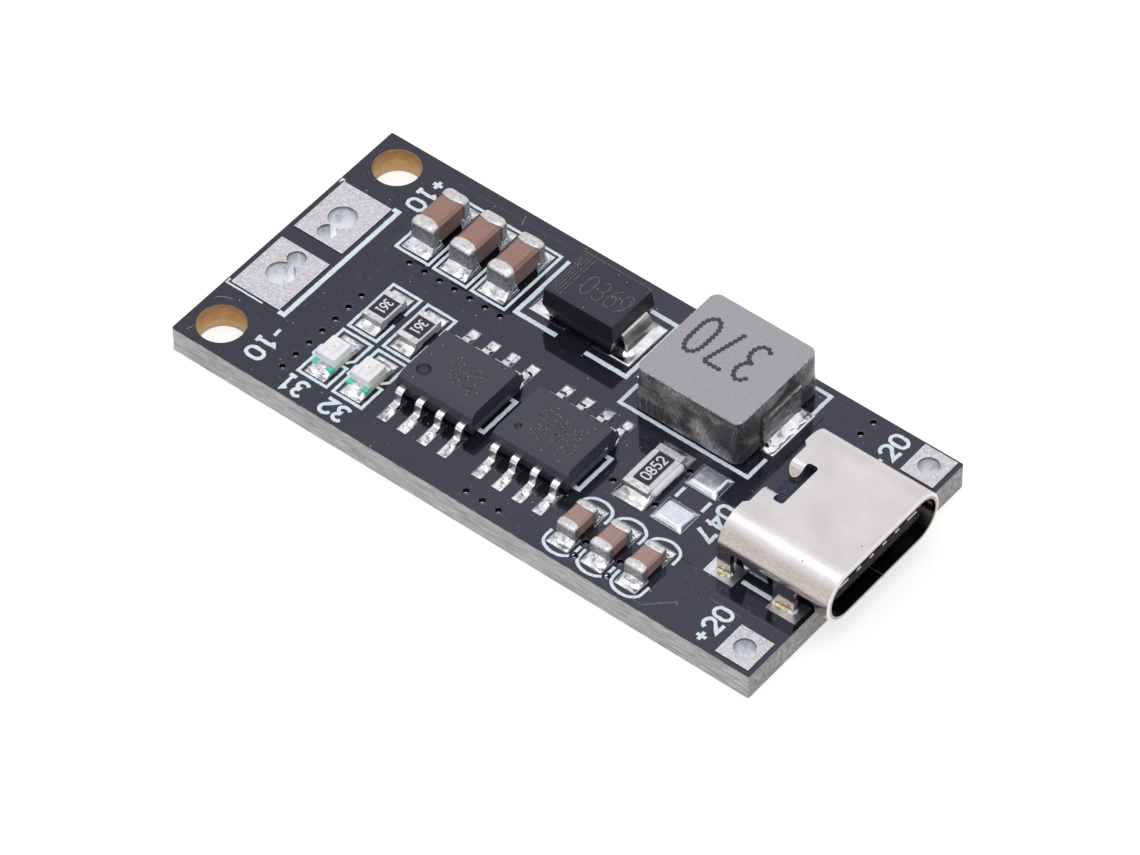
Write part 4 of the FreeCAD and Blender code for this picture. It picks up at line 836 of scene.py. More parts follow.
# %% [markdown]
# The laser also drew the diode's band, which marks one of its two ends: five fine lines in three
# runs each. A thin pale line along two edges of the diode's top is a painted highlight. The edges
# are read from the CAD mesh, so that the highlight stays just inside them.

# %% Band and painted edge highlight of the diode
FINE_PEN = 0.035
HIGHLIGHT_INSET, HIGHLIGHT_DOWN = 0.05, 0.4
bands = bmesh.new()
x, y = centre_of("diode_body")
top = mm_box("diode_body")[5]
for dx in (-1.98, -1.84, -1.68, -1.5, -1.3):
    for start, end in ((-1.45, -0.5), (-0.42, 0.35), (0.42, 1.45)):
        ribbon(bands, [(x + dx, y + start), (x + dx, y + end)], FINE_PEN, rise=MARK_RISE, wander=0.004,
               base=top)
piece("diode_band", bands, band_burnt, smooth=False)
points = [(v.co - spot(0, 0)) / MM for v in frame["nodes"]["diode_body"].data.vertices]
edge_x, edge_y = [max(p[axis] for p in points if p.z > top - 0.01) - HIGHLIGHT_INSET for axis in (0, 1)]
# painted highlight: a pale line just inside two edges of the diode's top
diode_highlight = bmesh.new()
ribbon(diode_highlight, [(2 * x - edge_x, edge_y), (edge_x, edge_y), (edge_x, edge_y - HIGHLIGHT_DOWN)], FINE_PEN,
       rise=MARK_RISE, wander=0.006, base=top)
piece("diode_top_highlight", diode_highlight, band_burnt, smooth=False)

# %% [markdown]
# Copper tracks run under the mask and lift it by a few hundredths of a millimetre. They are
# black on black and only their sloping edges catch the light, so they are made as low raised
# sheets with the mask's own finish. Two steeper sheets in the mask's finish also lie over the
# inner part of the diode's two wide lands, under the diode.

# %% Tracks under the mask
COVERED_RISE, COVERED_SLOPE = 0.018, 0.06


def raised_sheet(bm, corners, rise=COVERED_RISE, slope=COVERED_SLOPE):
    """A low flat sheet with sloping edges, from board corners that run anticlockwise."""
    points = [Vector(p) for p in corners]
    count = len(points)
    inner = []
    for i, here in enumerate(points):
        run_in = (here - points[i - 1]).normalized()
        run_out = (points[(i + 1) % count] - here).normalized()
        side, narrow = mitre(run_in, run_out)
        inner.append(here + side * slope / narrow)
    low = [bm.verts.new(spot(p.x, p.y, 0.0)) for p in points]
    high = [bm.verts.new(spot(p.x, p.y, rise)) for p in inner]
    bm.faces.new(high)
    for i in range(count):
        k = (i + 1) % count
        bm.faces.new((low[i], low[k], high[k], high[i]))


covered = [
    frame_path(4.9, 12.9, 10.3, 12.9), frame_path(4.9, 12.6, 14.2, 16.6),
    [(23.2, 0.35), (29.6, 0.35), (30.9, 1.6), (30.9, 3.3), (29.9, 3.9), (28.95, 3.9), (28.95, 3.2),
     (23.2, 3.2)],
    frame_path(29.15, 29.95, 9.4, 16.7), frame_path(31.9, 33.9, 2.7, 3.7),
]
tracks = bmesh.new()
for corners in covered:
    raised_sheet(tracks, corners)
DIODE_COVER, COVER_MARGIN, COVER_RISE, COVER_SLOPE = 0.98, 0.04, 0.058, 0.03
COVER_Y = (12.01, 15.25)
for land_x, outward in ((15.48, -1), (17.28, 1)):
    cover_x = sorted((land_x - outward * COVER_MARGIN, land_x + outward * DIODE_COVER))
    raised_sheet(tracks, frame_path(*cover_x, *COVER_Y), COVER_RISE, COVER_SLOPE)
piece("covered_tracks", tracks, mask, smooth=False)


def ground(x, y):
    """The mask's height at a board point: that of a covered track, or 0."""
    for corners in covered:
        xs, ys = [p[0] for p in corners], [p[1] for p in corners]
        if min(xs) < x < max(xs) and min(ys) < y < max(ys):
            return COVERED_RISE
    return 0.0


# %% [markdown]
# Many small forms on the board are round, so two helpers make them. One joins a row of rings with
# faces, like a skin over ribs. The other turns an outline round an upright axis, as a lathe does.

# %% Skins and turned forms
AROUND = 20


def round_angles(count):
    return [2 * math.pi * i / count for i in range(count)]


def skin(bm, rings, caps=()):
    """Faces between rings of the same number of vertices, and over the rings named in caps."""
    count = len(rings[0])
    for a, b in zip(rings, rings[1:]):
        for i in range(count):
            k = (i + 1) % count
            bm.faces.new((a[i], a[k], b[k], b[i]))
    for cap in caps:
        bm.faces.new(rings[cap])


def lathe(bm, x, y, outline, z=0.0, caps=(-1,)):
    """A turned form from (radius, height) pairs, outermost first."""
    skin(bm, [[bm.verts.new(spot(x + r * math.cos(a), y + r * math.sin(a), z + h))
               for a in round_angles(AROUND)] for r, h in outline], caps)


print("a turned form goes round in", AROUND, "steps")

# %% [markdown]
# Small plated vias join the copper on both faces. From above each is a dark well with a thin
# raised lip under the mask. The lip is a ring with a round section, and the well is a shallow
# dished disc that sits just above the board, so that nothing has to be cut; its black is a painted
# shade for the hole. A short arc of bright tin in each well on its near side is a painted glint.
# On the board's underside the mask covers them.

# %% Vias
# painted shade: the black discs stand for the shade inside the via holes
via_shade = Finish("painted_via_shade", Roughness=0.9, Specular_IOR_Level=0.0)
via_shade.tone(0.1, 3.0, (0.3, (2, 2, 3)), (0.7, (14, 14, 18)))
via_spots = [(6.03, 1.45 + 1.02 * i) for i in range(7)]
via_spots += [(6.5 + 0.98 * i, 10.77) for i in range(7)]
via_spots += [(18.36 + 1.02 * i, 0.76) for i in range(3)]
via_spots += [(23.56, 5.77), (26.14, 5.8), (26.16, 8.57), (25.0, 1.8), (25.1, 0.77), (27.1, 1.85),
              (27.15, 0.73), (31.27, 16.69), (31.23, 15.69)]
WELL_R, LIP_R, GLINT_R, GLINT_PEN = 0.17, 0.255, 0.135, 0.045
LIP = [(LIP_R, 0.0), (LIP_R - 0.03, 0.016), (LIP_R - 0.06, 0.02), (WELL_R, 0.01), (WELL_R - 0.01, 0.001)]
WELL = [(WELL_R, 0.009), (WELL_R * 0.8, 0.003), (WELL_R * 0.4, 0.0015)]
COVER_BELOW = [(LIP_R, 0.0), (LIP_R - 0.03, -0.012), (LIP_R - 0.06, -0.014), (WELL_R, -0.008),
               (WELL_R * 0.7, -0.003)]
lips, shade_discs, glints, covers = [bmesh.new() for _ in range(4)]
for x, y in via_spots:
    lathe(lips, x, y, LIP, ground(x, y), caps=())
    lathe(shade_discs, x, y, WELL, ground(x, y))
    ribbon(glints, arc(x, y, GLINT_R, GLINT_R, -82, -20), GLINT_PEN, rise=0.012, wander=0.006,
           base=ground(x, y))
    lathe(covers, x, y, COVER_BELOW, -BOARD_THICK)
# painted glints: short arcs of bright tin on the near side of each well
piece("via_painted_glints", glints, lead_tin, smooth=False)
piece("via_lips", lips, mask)
piece("via_shade_discs", shade_discs, via_shade)
piece("via_covers_below", covers, mask)
print("vias:", len(via_spots))

# %% [markdown]
# The capacitors' ends were dipped in metal paste and then plated, so their edges are round and
# their faces a little lumpy, and they stand proud of the ceramic. A box with a bevel would look
# machined. Each cup is a stack of rounded rings instead, pushed about by a little noise.

# %% Dipped capacitor ends
CUP_AROUND = 44
SQUARENESS = 5.0
CUP_FLOOR = 0.052
LUMPS_PER_MM = 2.6
TUCK, PROUD_WIDE, PROUD_HIGH = 0.08, 0.012, 0.008


def squared_ring(bm, x, z, half_w, half_h, y_at, lump):
    """A ring between a circle and a rectangle, standing in the X-Z plane."""
    ring = []
    for a in round_angles(CUP_AROUND):
        u, v = [math.copysign(abs(share) ** (2 / SQUARENESS), share) for share in (math.cos(a), math.sin(a))]
        y = y_at(u)
        lump_at = Vector([mm * LUMPS_PER_MM for mm in (x + half_w * u, y, z + half_h * v)])
        push = 1 + lump * noise.noise(lump_at)
        ring.append(bm.verts.new(spot(x + half_w * u * push, y, max(CUP_FLOOR, z + half_h * v * push))))
    return ring


def dipped_end(bm, box, side, band, bow, soft):
    """A cup on one end of a capacitor, from the box of both its cups.

    Band is how far it reaches over the ceramic, bow the dip in its lip, soft the round of its end.
    """
    x0, x1, y0, y1, z0, z1 = box
    x, z, half_w, half_h = (x0 + x1) / 2, (z0 + z1) / 2, (x1 - x0) / 2, (z1 - z0) / 2
    end = y1 if side > 0 else y0
    lip = end - side * band

    def bowed(u):
        return lip + side * bow * u * u

    rings = [squared_ring(bm, x, z, half_w - TUCK, half_h - TUCK, bowed, 0),
             squared_ring(bm, x, z, half_w, half_h, bowed, 0.012)]
    for share in (0.12, 0.45, 0.8):
        y = lip + side * (band - soft) * share
        rings.append(squared_ring(bm, x, z, half_w + PROUD_WIDE, half_h + PROUD_HIGH,
                                  lambda u: y + side * bow * u * u * (1 - share), 0.05))
    for step in range(6):
        a = math.radians(18 * step)
        shrink = soft * (1 - math.cos(a))
        y = end - side * soft * (1 - math.sin(a))
        rings.append(squared_ring(bm, x, z, half_w - shrink, half_h - shrink, lambda u: y, 0.05))
    for share in (0.6, 0.25):
        rings.append(squared_ring(bm, x, z, half_w * share, half_h * share, lambda u: end, 0.03))
    skin(bm, rings, caps=(-1, 0))


for size, band, bow, soft in (("large", 0.74, 0.19, 0.21), ("small", 0.52, 0.1, 0.17)):
    for i in (1, 2, 3):
        node = f"{size}_capacitor_{i}_terminals"
        cups = bmesh.new()
        for side in (-1, 1):
            dipped_end(cups, mm_box(node), side, band, bow, soft)
        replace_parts(piece(f"{size}_capacitor_{i}_dipped_ends", cups, end_metal), node)

# %% [markdown]
# Solder wets the land and climbs the part's metal, so its surface is a hollow slope. Each pool is
# a height field over its land: high against the metal, sinking with the distance from it, and
# rounded off at the land's edge. Slow noise gives the swells that the cooling left.

# %% Solder pools
LAND_TOP = 0.05
FILM = 0.03
SINK = 0.004
FOOT_CORNER = 0.35
POOL_CELL = 0.07
SWELLS_PER_MM, DEEPEST_SWELL = 2.0, -0.015
RING_TURNS, RING_FADE = 24, 0.15


def height_field(bm, box, height_at):
    """A closed sheet over a rectangle, whose upper side follows a height in millimetres."""
    x0, x1, y0, y1 = box
    nx = max(4, round((x1 - x0) / POOL_CELL))
    ny = max(4, round((y1 - y0) / POOL_CELL))
    top, bottom = [], []
    for j in range(ny + 1):
        top.append([])
        bottom.append([])
        for i in range(nx + 1):
            x, y = x0 + (x1 - x0) * i / nx, y0 + (y1 - y0) * j / ny
            top[j].append(bm.verts.new(spot(x, y, LAND_TOP + max(0.0, height_at(x, y)))))
            bottom[j].append(bm.verts.new(spot(x, y, LAND_TOP - SINK)))
    for j in range(ny):
        for i in range(nx):
            bm.faces.new((top[j][i], top[j][i + 1], top[j + 1][i + 1], top[j + 1][i]))
            bm.faces.new((bottom[j][i], bottom[j + 1][i], bottom[j + 1][i + 1], bottom[j][i + 1]))
    for j in range(ny):
        for i, k in ((0, 1), (nx, -1)):
            bm.faces.new((top[j][i], top[j + 1][i], bottom[j + 1][i], bottom[j][i])[::k])
    for i in range(nx):
        for j, k in ((0, -1), (ny, 1)):
            bm.faces.new((top[j][i], top[j][i + 1], bottom[j][i + 1], bottom[j][i])[::k])


def swell(value):
    """A rounded rise from 0 to 1."""
    return math.sin(min(1.0, max(0.0, value)) * math.pi / 2)


def past_foot(foot, x, y):
    """How far a board point lies outside a part's foot, whose corners are taken as round."""
    r = min(FOOT_CORNER, (foot[1] - foot[0]) / 2, (foot[3] - foot[2]) / 2)
    dx = max(foot[0] + r - x, 0.0, x - foot[1] + r)
    dy = max(foot[2] + r - y, 0.0, y - foot[3] + r)
    return max(0.0, math.hypot(dx, dy) - r)


def pool(bm, land, foot, rise, run, rounding=0.12, ripple=0.03, wave=0.0):
    """One pool: land and foot are x0, x1, y0, y1 in board millimetres."""
    def height(x, y):
        off = past_foot(foot, x, y)
        climb = rise * max(0.0, 1 - off / run) ** 2
        drift = noise.noise(Vector((x * SWELLS_PER_MM, y * SWELLS_PER_MM, 5.0)))
        edge = min(x - land[0], land[1] - x, y - land[2], land[3] - y)
        ring = wave * math.sin(edge * RING_TURNS + drift * 4) * swell(edge / RING_FADE)
        return (FILM + climb + max(DEEPEST_SWELL, drift * ripple) + ring) * swell(edge / rounding)
    height_field(bm, land, height)


print("half way up a rounded rise:", round(swell(0.5), 2))

# %% [markdown]
# A pool needs the outline of its land. All the lands of the parts are solids of one CAD node, so
# the mesh is taken apart: vertices that edges join belong to the same solid, and each such island
# gives one box.

# %% Lands, as islands of one mesh
def islands(node):
    """The box of every separate solid of a node, in board millimetres."""
    bm = bmesh.new()
    bm.from_mesh(frame["nodes"][node].data)
    bmesh.ops.remove_doubles(bm, verts=bm.verts, dist=1e-7)
    seen, boxes = set(), []
    for start in bm.verts:
        if start in seen:
            continue
        stack, group = [start], []
        seen.add(start)
        while stack:
            v = stack.pop()
            group.append((v.co - spot(0, 0)) / MM)
            for e in v.link_edges:
                other = e.other_vert(v)
                if other not in seen:
                    seen.add(other)
                    stack.append(other)
        boxes.append([pick(p[axis] for p in group) for axis in (0, 1, 2) for pick in (min, max)])
    bm.free()
    return boxes


lands = [box[:4] for box in islands("component_lands")]
print("lands:", len(lands))

# %% [markdown]
# Each kind of part has its own pools. Round the capacitors the solder stands high, beside the
# resistors it is thin, and on the wide lands it lies flatter and smoother. The pools replace the
# plain solder of the CAD. Under the diode a part of each land is left out, where those sheets lie.

# %% Pools at the parts
def lands_near(x0, x1, y0, y1):
    """Lands whose middle lies in a region."""
    return [b for b in lands if x0 < (b[0] + b[1]) / 2 < x1 and y0 < (b[2] + b[3]) / 2 < y1]


def shrunk(box, margin):
    return (box[0] + margin, box[1] - margin, box[2] + margin, box[3] - margin)


def part_pools(name, node, parts, rise, run, finish=solder, ripple=0.03, wave=0.0, cut=0.0):
    """Pools on the lands round some parts, each against the box of its terminals.

    Cut is the width that is left out of each land on the side that lies under the part.
    """
    bm = bmesh.new()
    for part in parts:
        x0, x1, y0, y1 = mm_box(part)[:4]
        for land in lands_near(x0 - 0.6, x1 + 0.6, y0 - 0.8, y1 + 0.8):
            left, right = (0.0, cut) if land[0] < x0 else (cut, 0.0)
            land = (land[0] + left, land[1] - right, land[2], land[3])
            pool(bm, shrunk(land, 0.015), shrunk((x0, x1, y0, y1), 0.03), rise, run, ripple=ripple, wave=wave)
    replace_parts(piece(name, bm, finish), node)


for size, rise, ripple in (("large", 0.42, 0.06), ("small", 0.34, 0.05)):
    part_pools(f"{size}_capacitor_pools", f"{size}_capacitor_solder",
               [f"{size}_capacitor_{i}_terminals" for i in (1, 2, 3)], rise, 0.5, ripple=ripple)
part_pools("resistor_pools", "resistor_solder", ["resistor_1_terminals", "resistor_2_terminals"],
           0.1, 0.3, ripple=0.07)
part_pools("lamp_pools", "indicator_solder", ["indicator_1_terminals", "indicator_2_terminals"], 0.26, 0.5,
           ripple=0.05)
part_pools("sense_resistor_pools", "sense_resistor_solder", ["sense_resistor_terminals"], 0.28, 0.6,
           still_solder, ripple=0.05)
part_pools("diode_pools", "diode_solder", ["diode_leads"], 0.16, 0.45, still_solder,
           ripple=0.012, wave=0.004, cut=DIODE_COVER)
part_pools("inductor_pools", "inductor_solder", ["inductor_terminals"], 0.36, 0.5,
           still_solder, ripple=0.02, wave=0.032)

# %% [markdown]
# The chips' leads have narrow feet, so each pool is a low bank round its foot. The feet's places
# come from the box of all the leads of a chip and from their even pitch.

# %% Pools at the chips' leads
LEAD_MIDDLE, LEAD_HALF = 0.21, 0.2
FOOT_DEPTH = 0.7


def lead_feet(node, depth):
    """The foot of each lead of a chip: the outer part of its box along Y."""
    x0, x1, y0, y1 = mm_box(node)[:4]
    feet = []
    for i in range(4):
        x = x0 + LEAD_MIDDLE + i * (x1 - x0 - 2 * LEAD_MIDDLE) / 3
        for low, high in ((y0, y0 + depth), (y1 - depth, y1)):
            feet.append((x - LEAD_HALF, x + LEAD_HALF, low, high))
    return feet


toes = bmesh.new()
for node in ("charge_chip_leads", "switch_chip_leads"):
    for foot in lead_feet(node, FOOT_DEPTH):
        x, y = (foot[0] + foot[1]) / 2, (foot[2] + foot[3]) / 2
        for land in lands_near(x - 0.3, x + 0.3, y - 0.6, y + 0.6):
            pool(toes, shrunk(land, 0.01), foot, 0.15, 0.34, 0.1, 0.03)
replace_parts(piece("chip_toe_pools", toes, solder), "chip_solder")

# %% [markdown]
# Two lands beside the sense resistor carry no part. Solder was still printed on them, and it
# stands as a flat pillow with round shoulders. It is the same height field as before, with
# another function for its height.

# %% Pillows on the bare lands
PILLOW_FOOT, PILLOW_H, PILLOW_SHOULDER = 0.02, 0.2, 0.28
pillows = bmesh.new()
for land in lands_near(*mm_box("bare_land_solder")[:4]):
    land = shrunk(land, 0.03)

    def pillow(x, y, land=land):
        bulge = noise.noise(Vector((x * 1.1, y * 1.1, 2.0)))
        hollow = 0.12 * abs((y - land[2]) / (land[3] - land[2]) - 0.5)
        side_x = swell((min(x - land[0], land[1] - x) - hollow * 0.6) / PILLOW_SHOULDER)
        side_y = swell(min(y - land[2], land[3] - y) / PILLOW_SHOULDER)
        return PILLOW_FOOT + PILLOW_H * side_x * side_y * (1 + 0.1 * bulge)

    height_field(pillows, land, pillow)
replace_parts(piece("bare_land_pillows", pillows, pillow_solder), "bare_land_solder")

# %% [markdown]
# The four legs of the inlet stand in plated slots. Where the solder was drawn down beside a leg it
# left a small bowl with fine rings, golden from the flux that stayed in it. Each bowl is a set of
# oval rings round the leg. Its height is written as a function of the place: it lies on the solder
# next to the leg, sinks away from it and has a low rim.

# %% Bowls of solder at the inlet's legs
flux_gold = Finish("flux_gold_solder", Metallic=1.0)
flux_gold.tone(0.25, 3.0, (0.3, (118, 107, 78)), (0.5, (178, 166, 130)), (0.7, (222, 216, 194)))
flux_gold.gloss(0.2, 0.16, 0.3)
flux_gold.relief((flux_gold.grain(0.3, 2.0), 0.004))
LEG_HALF = 0.15
MOUND, MOUND_FALL = 0.12, 0.09
BOWL_FLOOR, RING_RISE, RIM_RISE = 0.05, 0.012, 0.03
BOWL_AROUND, BOWL_RINGS = 48, 14
INNERMOST, RIM_FROM, OUTERMOST = 0.35, 0.8, 0.99


def bowl_height(share, y):
    """Height over the land for a ring's share of the full oval and a distance along Y."""
    mound = MOUND * min(1.0, max(0.0, (2 * LEG_HALF - abs(y)) / MOUND_FALL)) + 0.01
    rim = BOWL_FLOOR + RING_RISE * math.sin(share * 34) + RIM_RISE * swell((share - RIM_FROM) / 0.1)
    return max(mound, rim) if share < OUTERMOST else 0.0


bowls = bmesh.new()
for y in (inlet_y0 + LEG_HALF, inlet_y1 - LEG_HALF):
    for x, half_x in ((inlet_x0 + 0.41, 0.38), (inlet_x0 + 4.04, 0.52)):
        rings = []
        for k in range(BOWL_RINGS):
            share = INNERMOST + (1 - INNERMOST) * k / (BOWL_RINGS - 1)
            ring = []
            for a in round_angles(BOWL_AROUND):
                px, py = half_x * share * math.cos(a), 3 * LEG_HALF * share * math.sin(a)
                ring.append(bowls.verts.new(spot(x + px, y + py, LAND_TOP + bowl_height(share, py))))
            rings.append(ring)
        skin(bowls, rings, caps=(0, -1))
piece("leg_solder_bowls", bowls, flux_gold)

# %% [markdown]
# The sense resistor has a white glass bead along each long side, thicker on the right. A bead is a
# half-round bar with blunt ends, made as a skin over half-round ribs.

# %% Glass beads of the sense resistor
BEAD_RIBS, BEAD_STEPS = 24, 10


def bead(bm, x, y0, y1, z0, z1, out):
    """A half-round bar along Y on an upright face at x."""
    ribs = []
    for j in range(BEAD_RIBS + 1):
        share = j / BEAD_RIBS
        blunt = (1 - abs(2 * share - 1) ** 10) ** 0.5
        high = (z1 - z0) / 2 * (0.3 + 0.7 * blunt)
        ribs.append([bm.verts.new(spot(x + out * math.cos(a) * blunt, y0 + (y1 - y0) * share,
                                       (z0 + z1) / 2 + high * math.sin(a)))
                     for a in [math.pi * (i / BEAD_STEPS - 0.5) for i in range(BEAD_STEPS + 1)]])
    skin(bm, ribs, caps=(0, -1))


glass_white = matte("white_glass_bead", (222, 222, 228), (240, 240, 246), 0.3, 0.16, 0.003)
beads = bmesh.new()
x0, x1, y0, y1, z0, z1 = mm_box("sense_resistor_substrate")
for x, out in ((x1 - 0.02, 0.29), (x0 + 0.02, -0.17)):
    bead(beads, x, y0 + 0.2, y1 - 0.2, z0 - 0.02, z1 - 0.03, out)
piece("sense_resistor_beads", beads, glass_white)

# %% [markdown]
# The inlet's contacts end in small noses at its mouth. Each chip shows the cut ends of the strips
# that held it in its lead frame. All of them are small blocks, and the sheared strip ends are
# pushed about a little by noise, so they don't look machined.

# %% Contact noses and strip ends
def block(bm, low, high, rough=0.0):
    """A box between two board points, pushed about a little when rough."""
    others = set(bm.verts)
    corners = bmesh.ops.create_cube(bm, size=1.0)["verts"]
    if rough:
        edges = list({e for v in corners for e in v.link_edges})
        bmesh.ops.subdivide_edges(bm, edges=edges, cuts=2, use_grid_fill=True)
    low, high = Vector(low), Vector(high)
    for v in [v for v in bm.verts if v not in others]:
        push = 1 + rough * noise.noise((v.co + low) * 3)
        here = (low + high) / 2 + (high - low) * v.co * push
        v.co = spot(*here)


noses = bmesh.new()
for _, x1, y0, y1, _, z1 in islands("inlet_upper_contacts"):
    block(noses, (x1 - 0.04, y0 + 0.02, z1 - 0.13), (x1 + 0.05, y1 - 0.02, z1 - 0.005))
piece("contact_noses", noses, gilt, smooth=False)

strip_ends = bmesh.new()
for node in ("charge_chip_body", "switch_chip_body"):
    x0, x1, y0, y1, z0, z1 = mm_box(node)
    z = (z0 + z1) / 2
    for x in (x0 + 0.02, x1 - 0.02):
        for y in ((y0 + y1) / 2 - 1.0, (y0 + y1) / 2 + 1.0):
            block(strip_ends, (x - 0.05, y - 0.16, z - 0.07), (x + 0.05, y + 0.16, z + 0.07), 0.12)
piece("chip_strip_ends", strip_ends, lead_tin, smooth=False)

# %% [markdown]
# The lamps carry a green-blue mark on two corners, which tells which way round they go. A little
# of their insides shows through the milky lens: a dot and a few thin lines, drawn on its top.

# %% Marks on the lamps
teal = matte("teal_lamp_mark", (66, 192, 170), (96, 218, 196), 0.1, 0.5, 0.003)
insides = matte("pale_lamp_insides", (192, 187, 188), (220, 216, 217), 0.1, 0.4, 0.002)
lamp_marks, lamp_insides = bmesh.new(), bmesh.new()
MARK_SKIN = 0.008
for i in (1, 2):
    x0, x1, y0, y1, z0, z1 = mm_box(f"indicator_{i}_terminals")
    for a, b in ((x0 - MARK_SKIN, x0 + 0.31), (x1 - 0.33, x1 + MARK_SKIN)):
        block(lamp_marks, (a, y0 - MARK_SKIN, z0 + 0.06), (b, y0 + 0.28, z1 + MARK_SKIN))
    x, y = centre_of(f"indicator_{i}_lens")
    top = mm_box(f"indicator_{i}_lens")[5]
    lathe(lamp_insides, x - 0.02, y + 0.08, [(0.07, 0.0), (0.05, 0.004), (0.02, 0.005)], top)
    for dx, start, end in ((0.2, -0.45, 0.5), (0.3, -0.2, 0.55), (-0.25, -0.5, -0.1)):
        ribbon(lamp_insides, [(x + dx, y + start), (x + dx, y + end)], 0.025, rise=0.004, wander=0.004,
               base=top)
piece("lamp_corner_marks", lamp_marks, teal, smooth=False)
piece("lamp_insides", lamp_insides, insides, smooth=False)

# %% [markdown]
# A chip's first pin is marked by a small round dish in its top. The ejector pin that made it was
# polished, so the dish is glossy. Its slopes are painted black as painted shade, and its level
# middle is painted greyer as a painted highlight.

# %% Dishes in the chips
dish = Finish("polished_chip_dish", Specular_IOR_Level=0.25)
# painted shade on the dish's slopes, and a painted highlight in its level middle
painted_shade_slopes = dish.patches(0.1, 3.0, (0.3, (8, 8, 13)), (0.7, (18, 18, 26)))
dish.set("Base Color", dish.mix(dish.spread(dish.facing(), 0.982, 1.0), painted_shade_slopes, paint(58, 61, 76)))
dish.gloss(0.15, 0.06, 0.14)
dishes = bmesh.new()
DISH_DEPTH = 0.055
DISH_TURNS = [math.radians(degrees) for degrees in (90, 72, 54, 36, 18, 6)]
for node, radius in (("charge_chip_body", 0.395), ("switch_chip_body", 0.205)):
    x0, _, y0, _, _, top = mm_box(node)
    outline = [(radius * math.sin(a), -DISH_DEPTH * math.cos(a)) for a in DISH_TURNS]
    lathe(dishes, x0 + 0.95, y0 + 1.05, outline, top + 0.001)
piece("chip_dishes", dishes, dish)

# %% [markdown]
# The inductor's value is a row of dots, burnt one by one with a laser. They follow the same
# strokes as the printed figures, with a dot about every quarter of a millimetre, and the number
# is a plain one. Dots that overlap get heights that differ by a hair.

# %% Dots on the inductor
burnt_dot = matte("laser_burnt_dot", (40, 35, 48), (66, 60, 74), 0.05, 0.6, 0.003)
DOT_R, DOT_PITCH = 0.15, 0.27
DOT_RISE, DOT_STEP, DOT_STEPS = 0.004, 0.0012, 7
dots = bmesh.new()
x, y = centre_of("inductor_body")
top = mm_box("inductor_body")[5]
dot_count = 0
for path in figure_paths("370", x - 0.35, y + 0.45, 2.6, 180, 0.58, 1.62):
    run = 0.0
    for start, end in zip(path, path[1:]):
        while run <= (end - start).length:
            at = start + (end - start).normalized() * run
            lift = DOT_RISE + dot_count % DOT_STEPS * DOT_STEP
            lathe(dots, at.x, at.y, [(DOT_R, -0.001), (DOT_R * 0.8, lift), (DOT_R * 0.35, lift + 0.001)], top)
            dot_count += 1
            run += DOT_PITCH
        run -= (end - start).length
piece("inductor_dots", dots, burnt_dot)
print("dots:", dot_count)

# %% [markdown]
# The photograph is sharp enough to show a few hairs of dust on the board. Each is a thin tube
# along a bent path that just touches the mask.

# %% Hairs of dust
hair = matte("pale_dust_hair", (150, 152, 160), (196, 198, 206), 0.1, 0.6, 0.001)
HAIR_R, HAIR_AROUND = 0.014, 6
HAIR_PATHS = [
    [(0.37, 2.79), (0.43, 2.98), (0.6, 3.13), (0.88, 3.26), (1.21, 3.32)],
    [(0.62, 0.36), (0.72, 0.48), (0.77, 0.64), (0.77, 0.82)],
    [(9.3, 16.3), (9.24, 16.55), (9.16, 16.76), (9.08, 16.9)],
]
hairs = bmesh.new()
for path in HAIR_PATHS:
    points = [spot(x, y, HAIR_R + 0.02 * math.sin(i * 1.3) ** 2) for i, (x, y) in enumerate(path)]
    rows = []
    for i, here in enumerate(points):
        ahead = (points[min(i + 1, len(points) - 1)] - points[max(i - 1, 0)]).normalized()
        side = ahead.cross(Vector((0, 0, 1))).normalized()
        over = side.cross(ahead)
        rows.append([hairs.verts.new(here + (side * math.cos(a) + over * math.sin(a)) * HAIR_R * MM)
                     for a in round_angles(HAIR_AROUND)])
    skin(hairs, rows, caps=(0, -1))
piece("dust_hairs", hairs, hair)

# %% [markdown]
# The scene around the part is a photo table: a white sheet, a wide soft lamp overhead and a
# bright room. The camera stands where the photograph was taken from, far away with a long lens,
# so that the board's edges stay almost parallel.

# %% Camera
CAMERA_AT = Vector((143.144, -176.255, 255.221)) * MM
AZIMUTH, ELEVATION, ROLL = math.radians(39.0114), math.radians(48.4315), math.radians(-0.4548)
right = Vector((math.cos(AZIMUTH), math.sin(AZIMUTH), 0))
back = Vector((math.sin(AZIMUTH) * math.cos(ELEVATION), -math.cos(AZIMUTH) * math.cos(ELEVATION),
               math.sin(ELEVATION)))
up = back.cross(right)
rolled_right = right * math.cos(ROLL) + up * math.sin(ROLL)
rolled_up = up * math.cos(ROLL) - right * math.sin(ROLL)
SENSOR_MM, LENS_MM, SEES_TO = 36.0, 217.3, 5.0
camera_data = bpy.data.cameras.new("photo_camera")
camera_data.sensor_width = SENSOR_MM
camera_data.lens = LENS_MM
camera_data.clip_end = SEES_TO
camera = put_in_scene("photo_camera", camera_data)
turn = Matrix((rolled_right, rolled_up, back)).transposed().to_4x4()
camera.matrix_world = Matrix.Translation(CAMERA_AT) @ turn
bpy.context.scene.camera = camera
print("camera distance in mm:", round(CAMERA_AT.length / MM, 1))

# %% [markdown]
# The table and the room look plain white to the camera, in gloss and through glass, while the
# light that they throw on the object stays modest. So each has two shaders, and the kind of the
# ray that looks chooses between them.

# %% Two shaders for two kinds of rays
LOOKING_RAYS = ("Is Camera Ray", "Is Glossy Ray", "Is Transmission Ray")


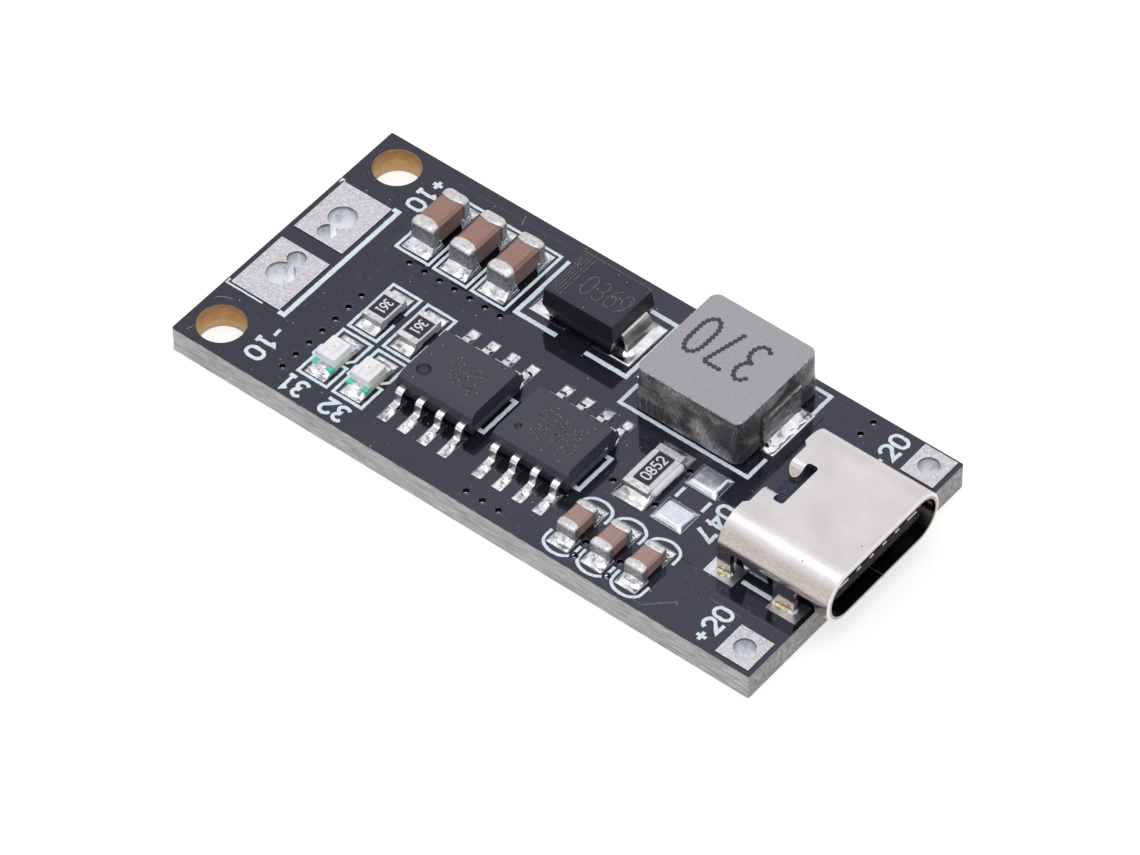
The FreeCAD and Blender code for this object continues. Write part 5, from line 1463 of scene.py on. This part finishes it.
def show_white(tree, plain, white, out):
    """The white shader for rays that only look, and the plain one for rays that carry light."""
    ray = tree.nodes.new("ShaderNodeLightPath")
    looks = ray.outputs[LOOKING_RAYS[0]]
    for kind in LOOKING_RAYS[1:]:
        either = tree.nodes.new("ShaderNodeMath")
        either.operation = "MAXIMUM"
        tree.links.new(looks, either.inputs[0])
        tree.links.new(ray.outputs[kind], either.inputs[1])
        looks = either.outputs[0]
    choose = tree.nodes.new("ShaderNodeMixShader")
    for slot, source in enumerate((looks, plain.outputs[0], white.outputs[0])):
        tree.links.new(source, choose.inputs[slot])
    tree.links.new(choose.outputs[0], out.inputs["Surface"])


print("rays that look:", LOOKING_RAYS)

# %% [markdown]
# The table is a white sheet that still takes the board's faint shadow. For rays that look it is
# the sum of a diffuse grey, which darkens in shadow, and a glow. For the rest it is plain paper.

# %% White table
PAPER_GREY, SHADED_GREY, TABLE_GLOW = (0.8, 0.8, 0.8, 1.0), (0.5, 0.5, 0.5, 1.0), 0.62
table_finish = bpy.data.materials.new("white_table")
table_finish.use_nodes = True
tree = table_finish.node_tree
tree.nodes.clear()
paper = tree.nodes.new("ShaderNodeBsdfDiffuse")
paper.inputs["Color"].default_value = PAPER_GREY
shaded = tree.nodes.new("ShaderNodeBsdfDiffuse")
shaded.inputs["Color"].default_value = SHADED_GREY
glow = tree.nodes.new("ShaderNodeEmission")
glow.inputs["Strength"].default_value = TABLE_GLOW
both = tree.nodes.new("ShaderNodeAddShader")
for slot, part in enumerate((shaded, glow)):
    tree.links.new(part.outputs[0], both.inputs[slot])
show_white(tree, paper, both, tree.nodes.new("ShaderNodeOutputMaterial"))

sheet = bmesh.new()
TABLE_HALF = 0.6
TABLE_DROP = 0.00002
corners = [sheet.verts.new((x * TABLE_HALF, y * TABLE_HALF, -TABLE_DROP))
           for x, y in ((-1, -1), (1, -1), (1, 1), (-1, 1))]
sheet.faces.new(corners)
table_mesh = bpy.data.meshes.new("table")
sheet.to_mesh(table_mesh)
sheet.free()
table_mesh.materials.append(table_finish)
put_in_scene("table", table_mesh)
print("table side in mm:", 2 * TABLE_HALF / MM)

# %% [markdown]
# The room is a plain world: white where it is looked at, and dimmer as a source of light, because
# much of the light comes from one wide soft lamp above the table. The lamp faces the board.

# %% Light
ROOM_LIGHT = 0.55
world = bpy.data.worlds.new("bright_room")
world.use_nodes = True
bpy.context.scene.world = world
tree = world.node_tree
tree.nodes.clear()
dim, white = [tree.nodes.new("ShaderNodeBackground") for _ in range(2)]
dim.inputs["Strength"].default_value = ROOM_LIGHT
for background in (dim, white):
    background.inputs["Color"].default_value = (1.0, 1.0, 1.0, 1.0)
show_white(tree, dim, white, tree.nodes.new("ShaderNodeOutputWorld"))

LAMP_AT, LAMP_SIDE, LAMP_POWER = Vector((0.06, -0.06, 0.45)), 0.45, 1.1
lamp_data = bpy.data.lights.new("lamp_above", "AREA")
lamp_data.shape = "SQUARE"
lamp_data.size = LAMP_SIDE
lamp_data.energy = LAMP_POWER
lamp = put_in_scene("lamp_above", lamp_data)
lamp.location = LAMP_AT
lamp.rotation_euler = LAMP_AT.to_track_quat("Z", "Y").to_euler()
bpy.context.scene.view_settings.view_transform = "Standard"
print("room light:", ROOM_LIGHT, "lamp power in watts:", LAMP_POWER)

# %% [markdown]
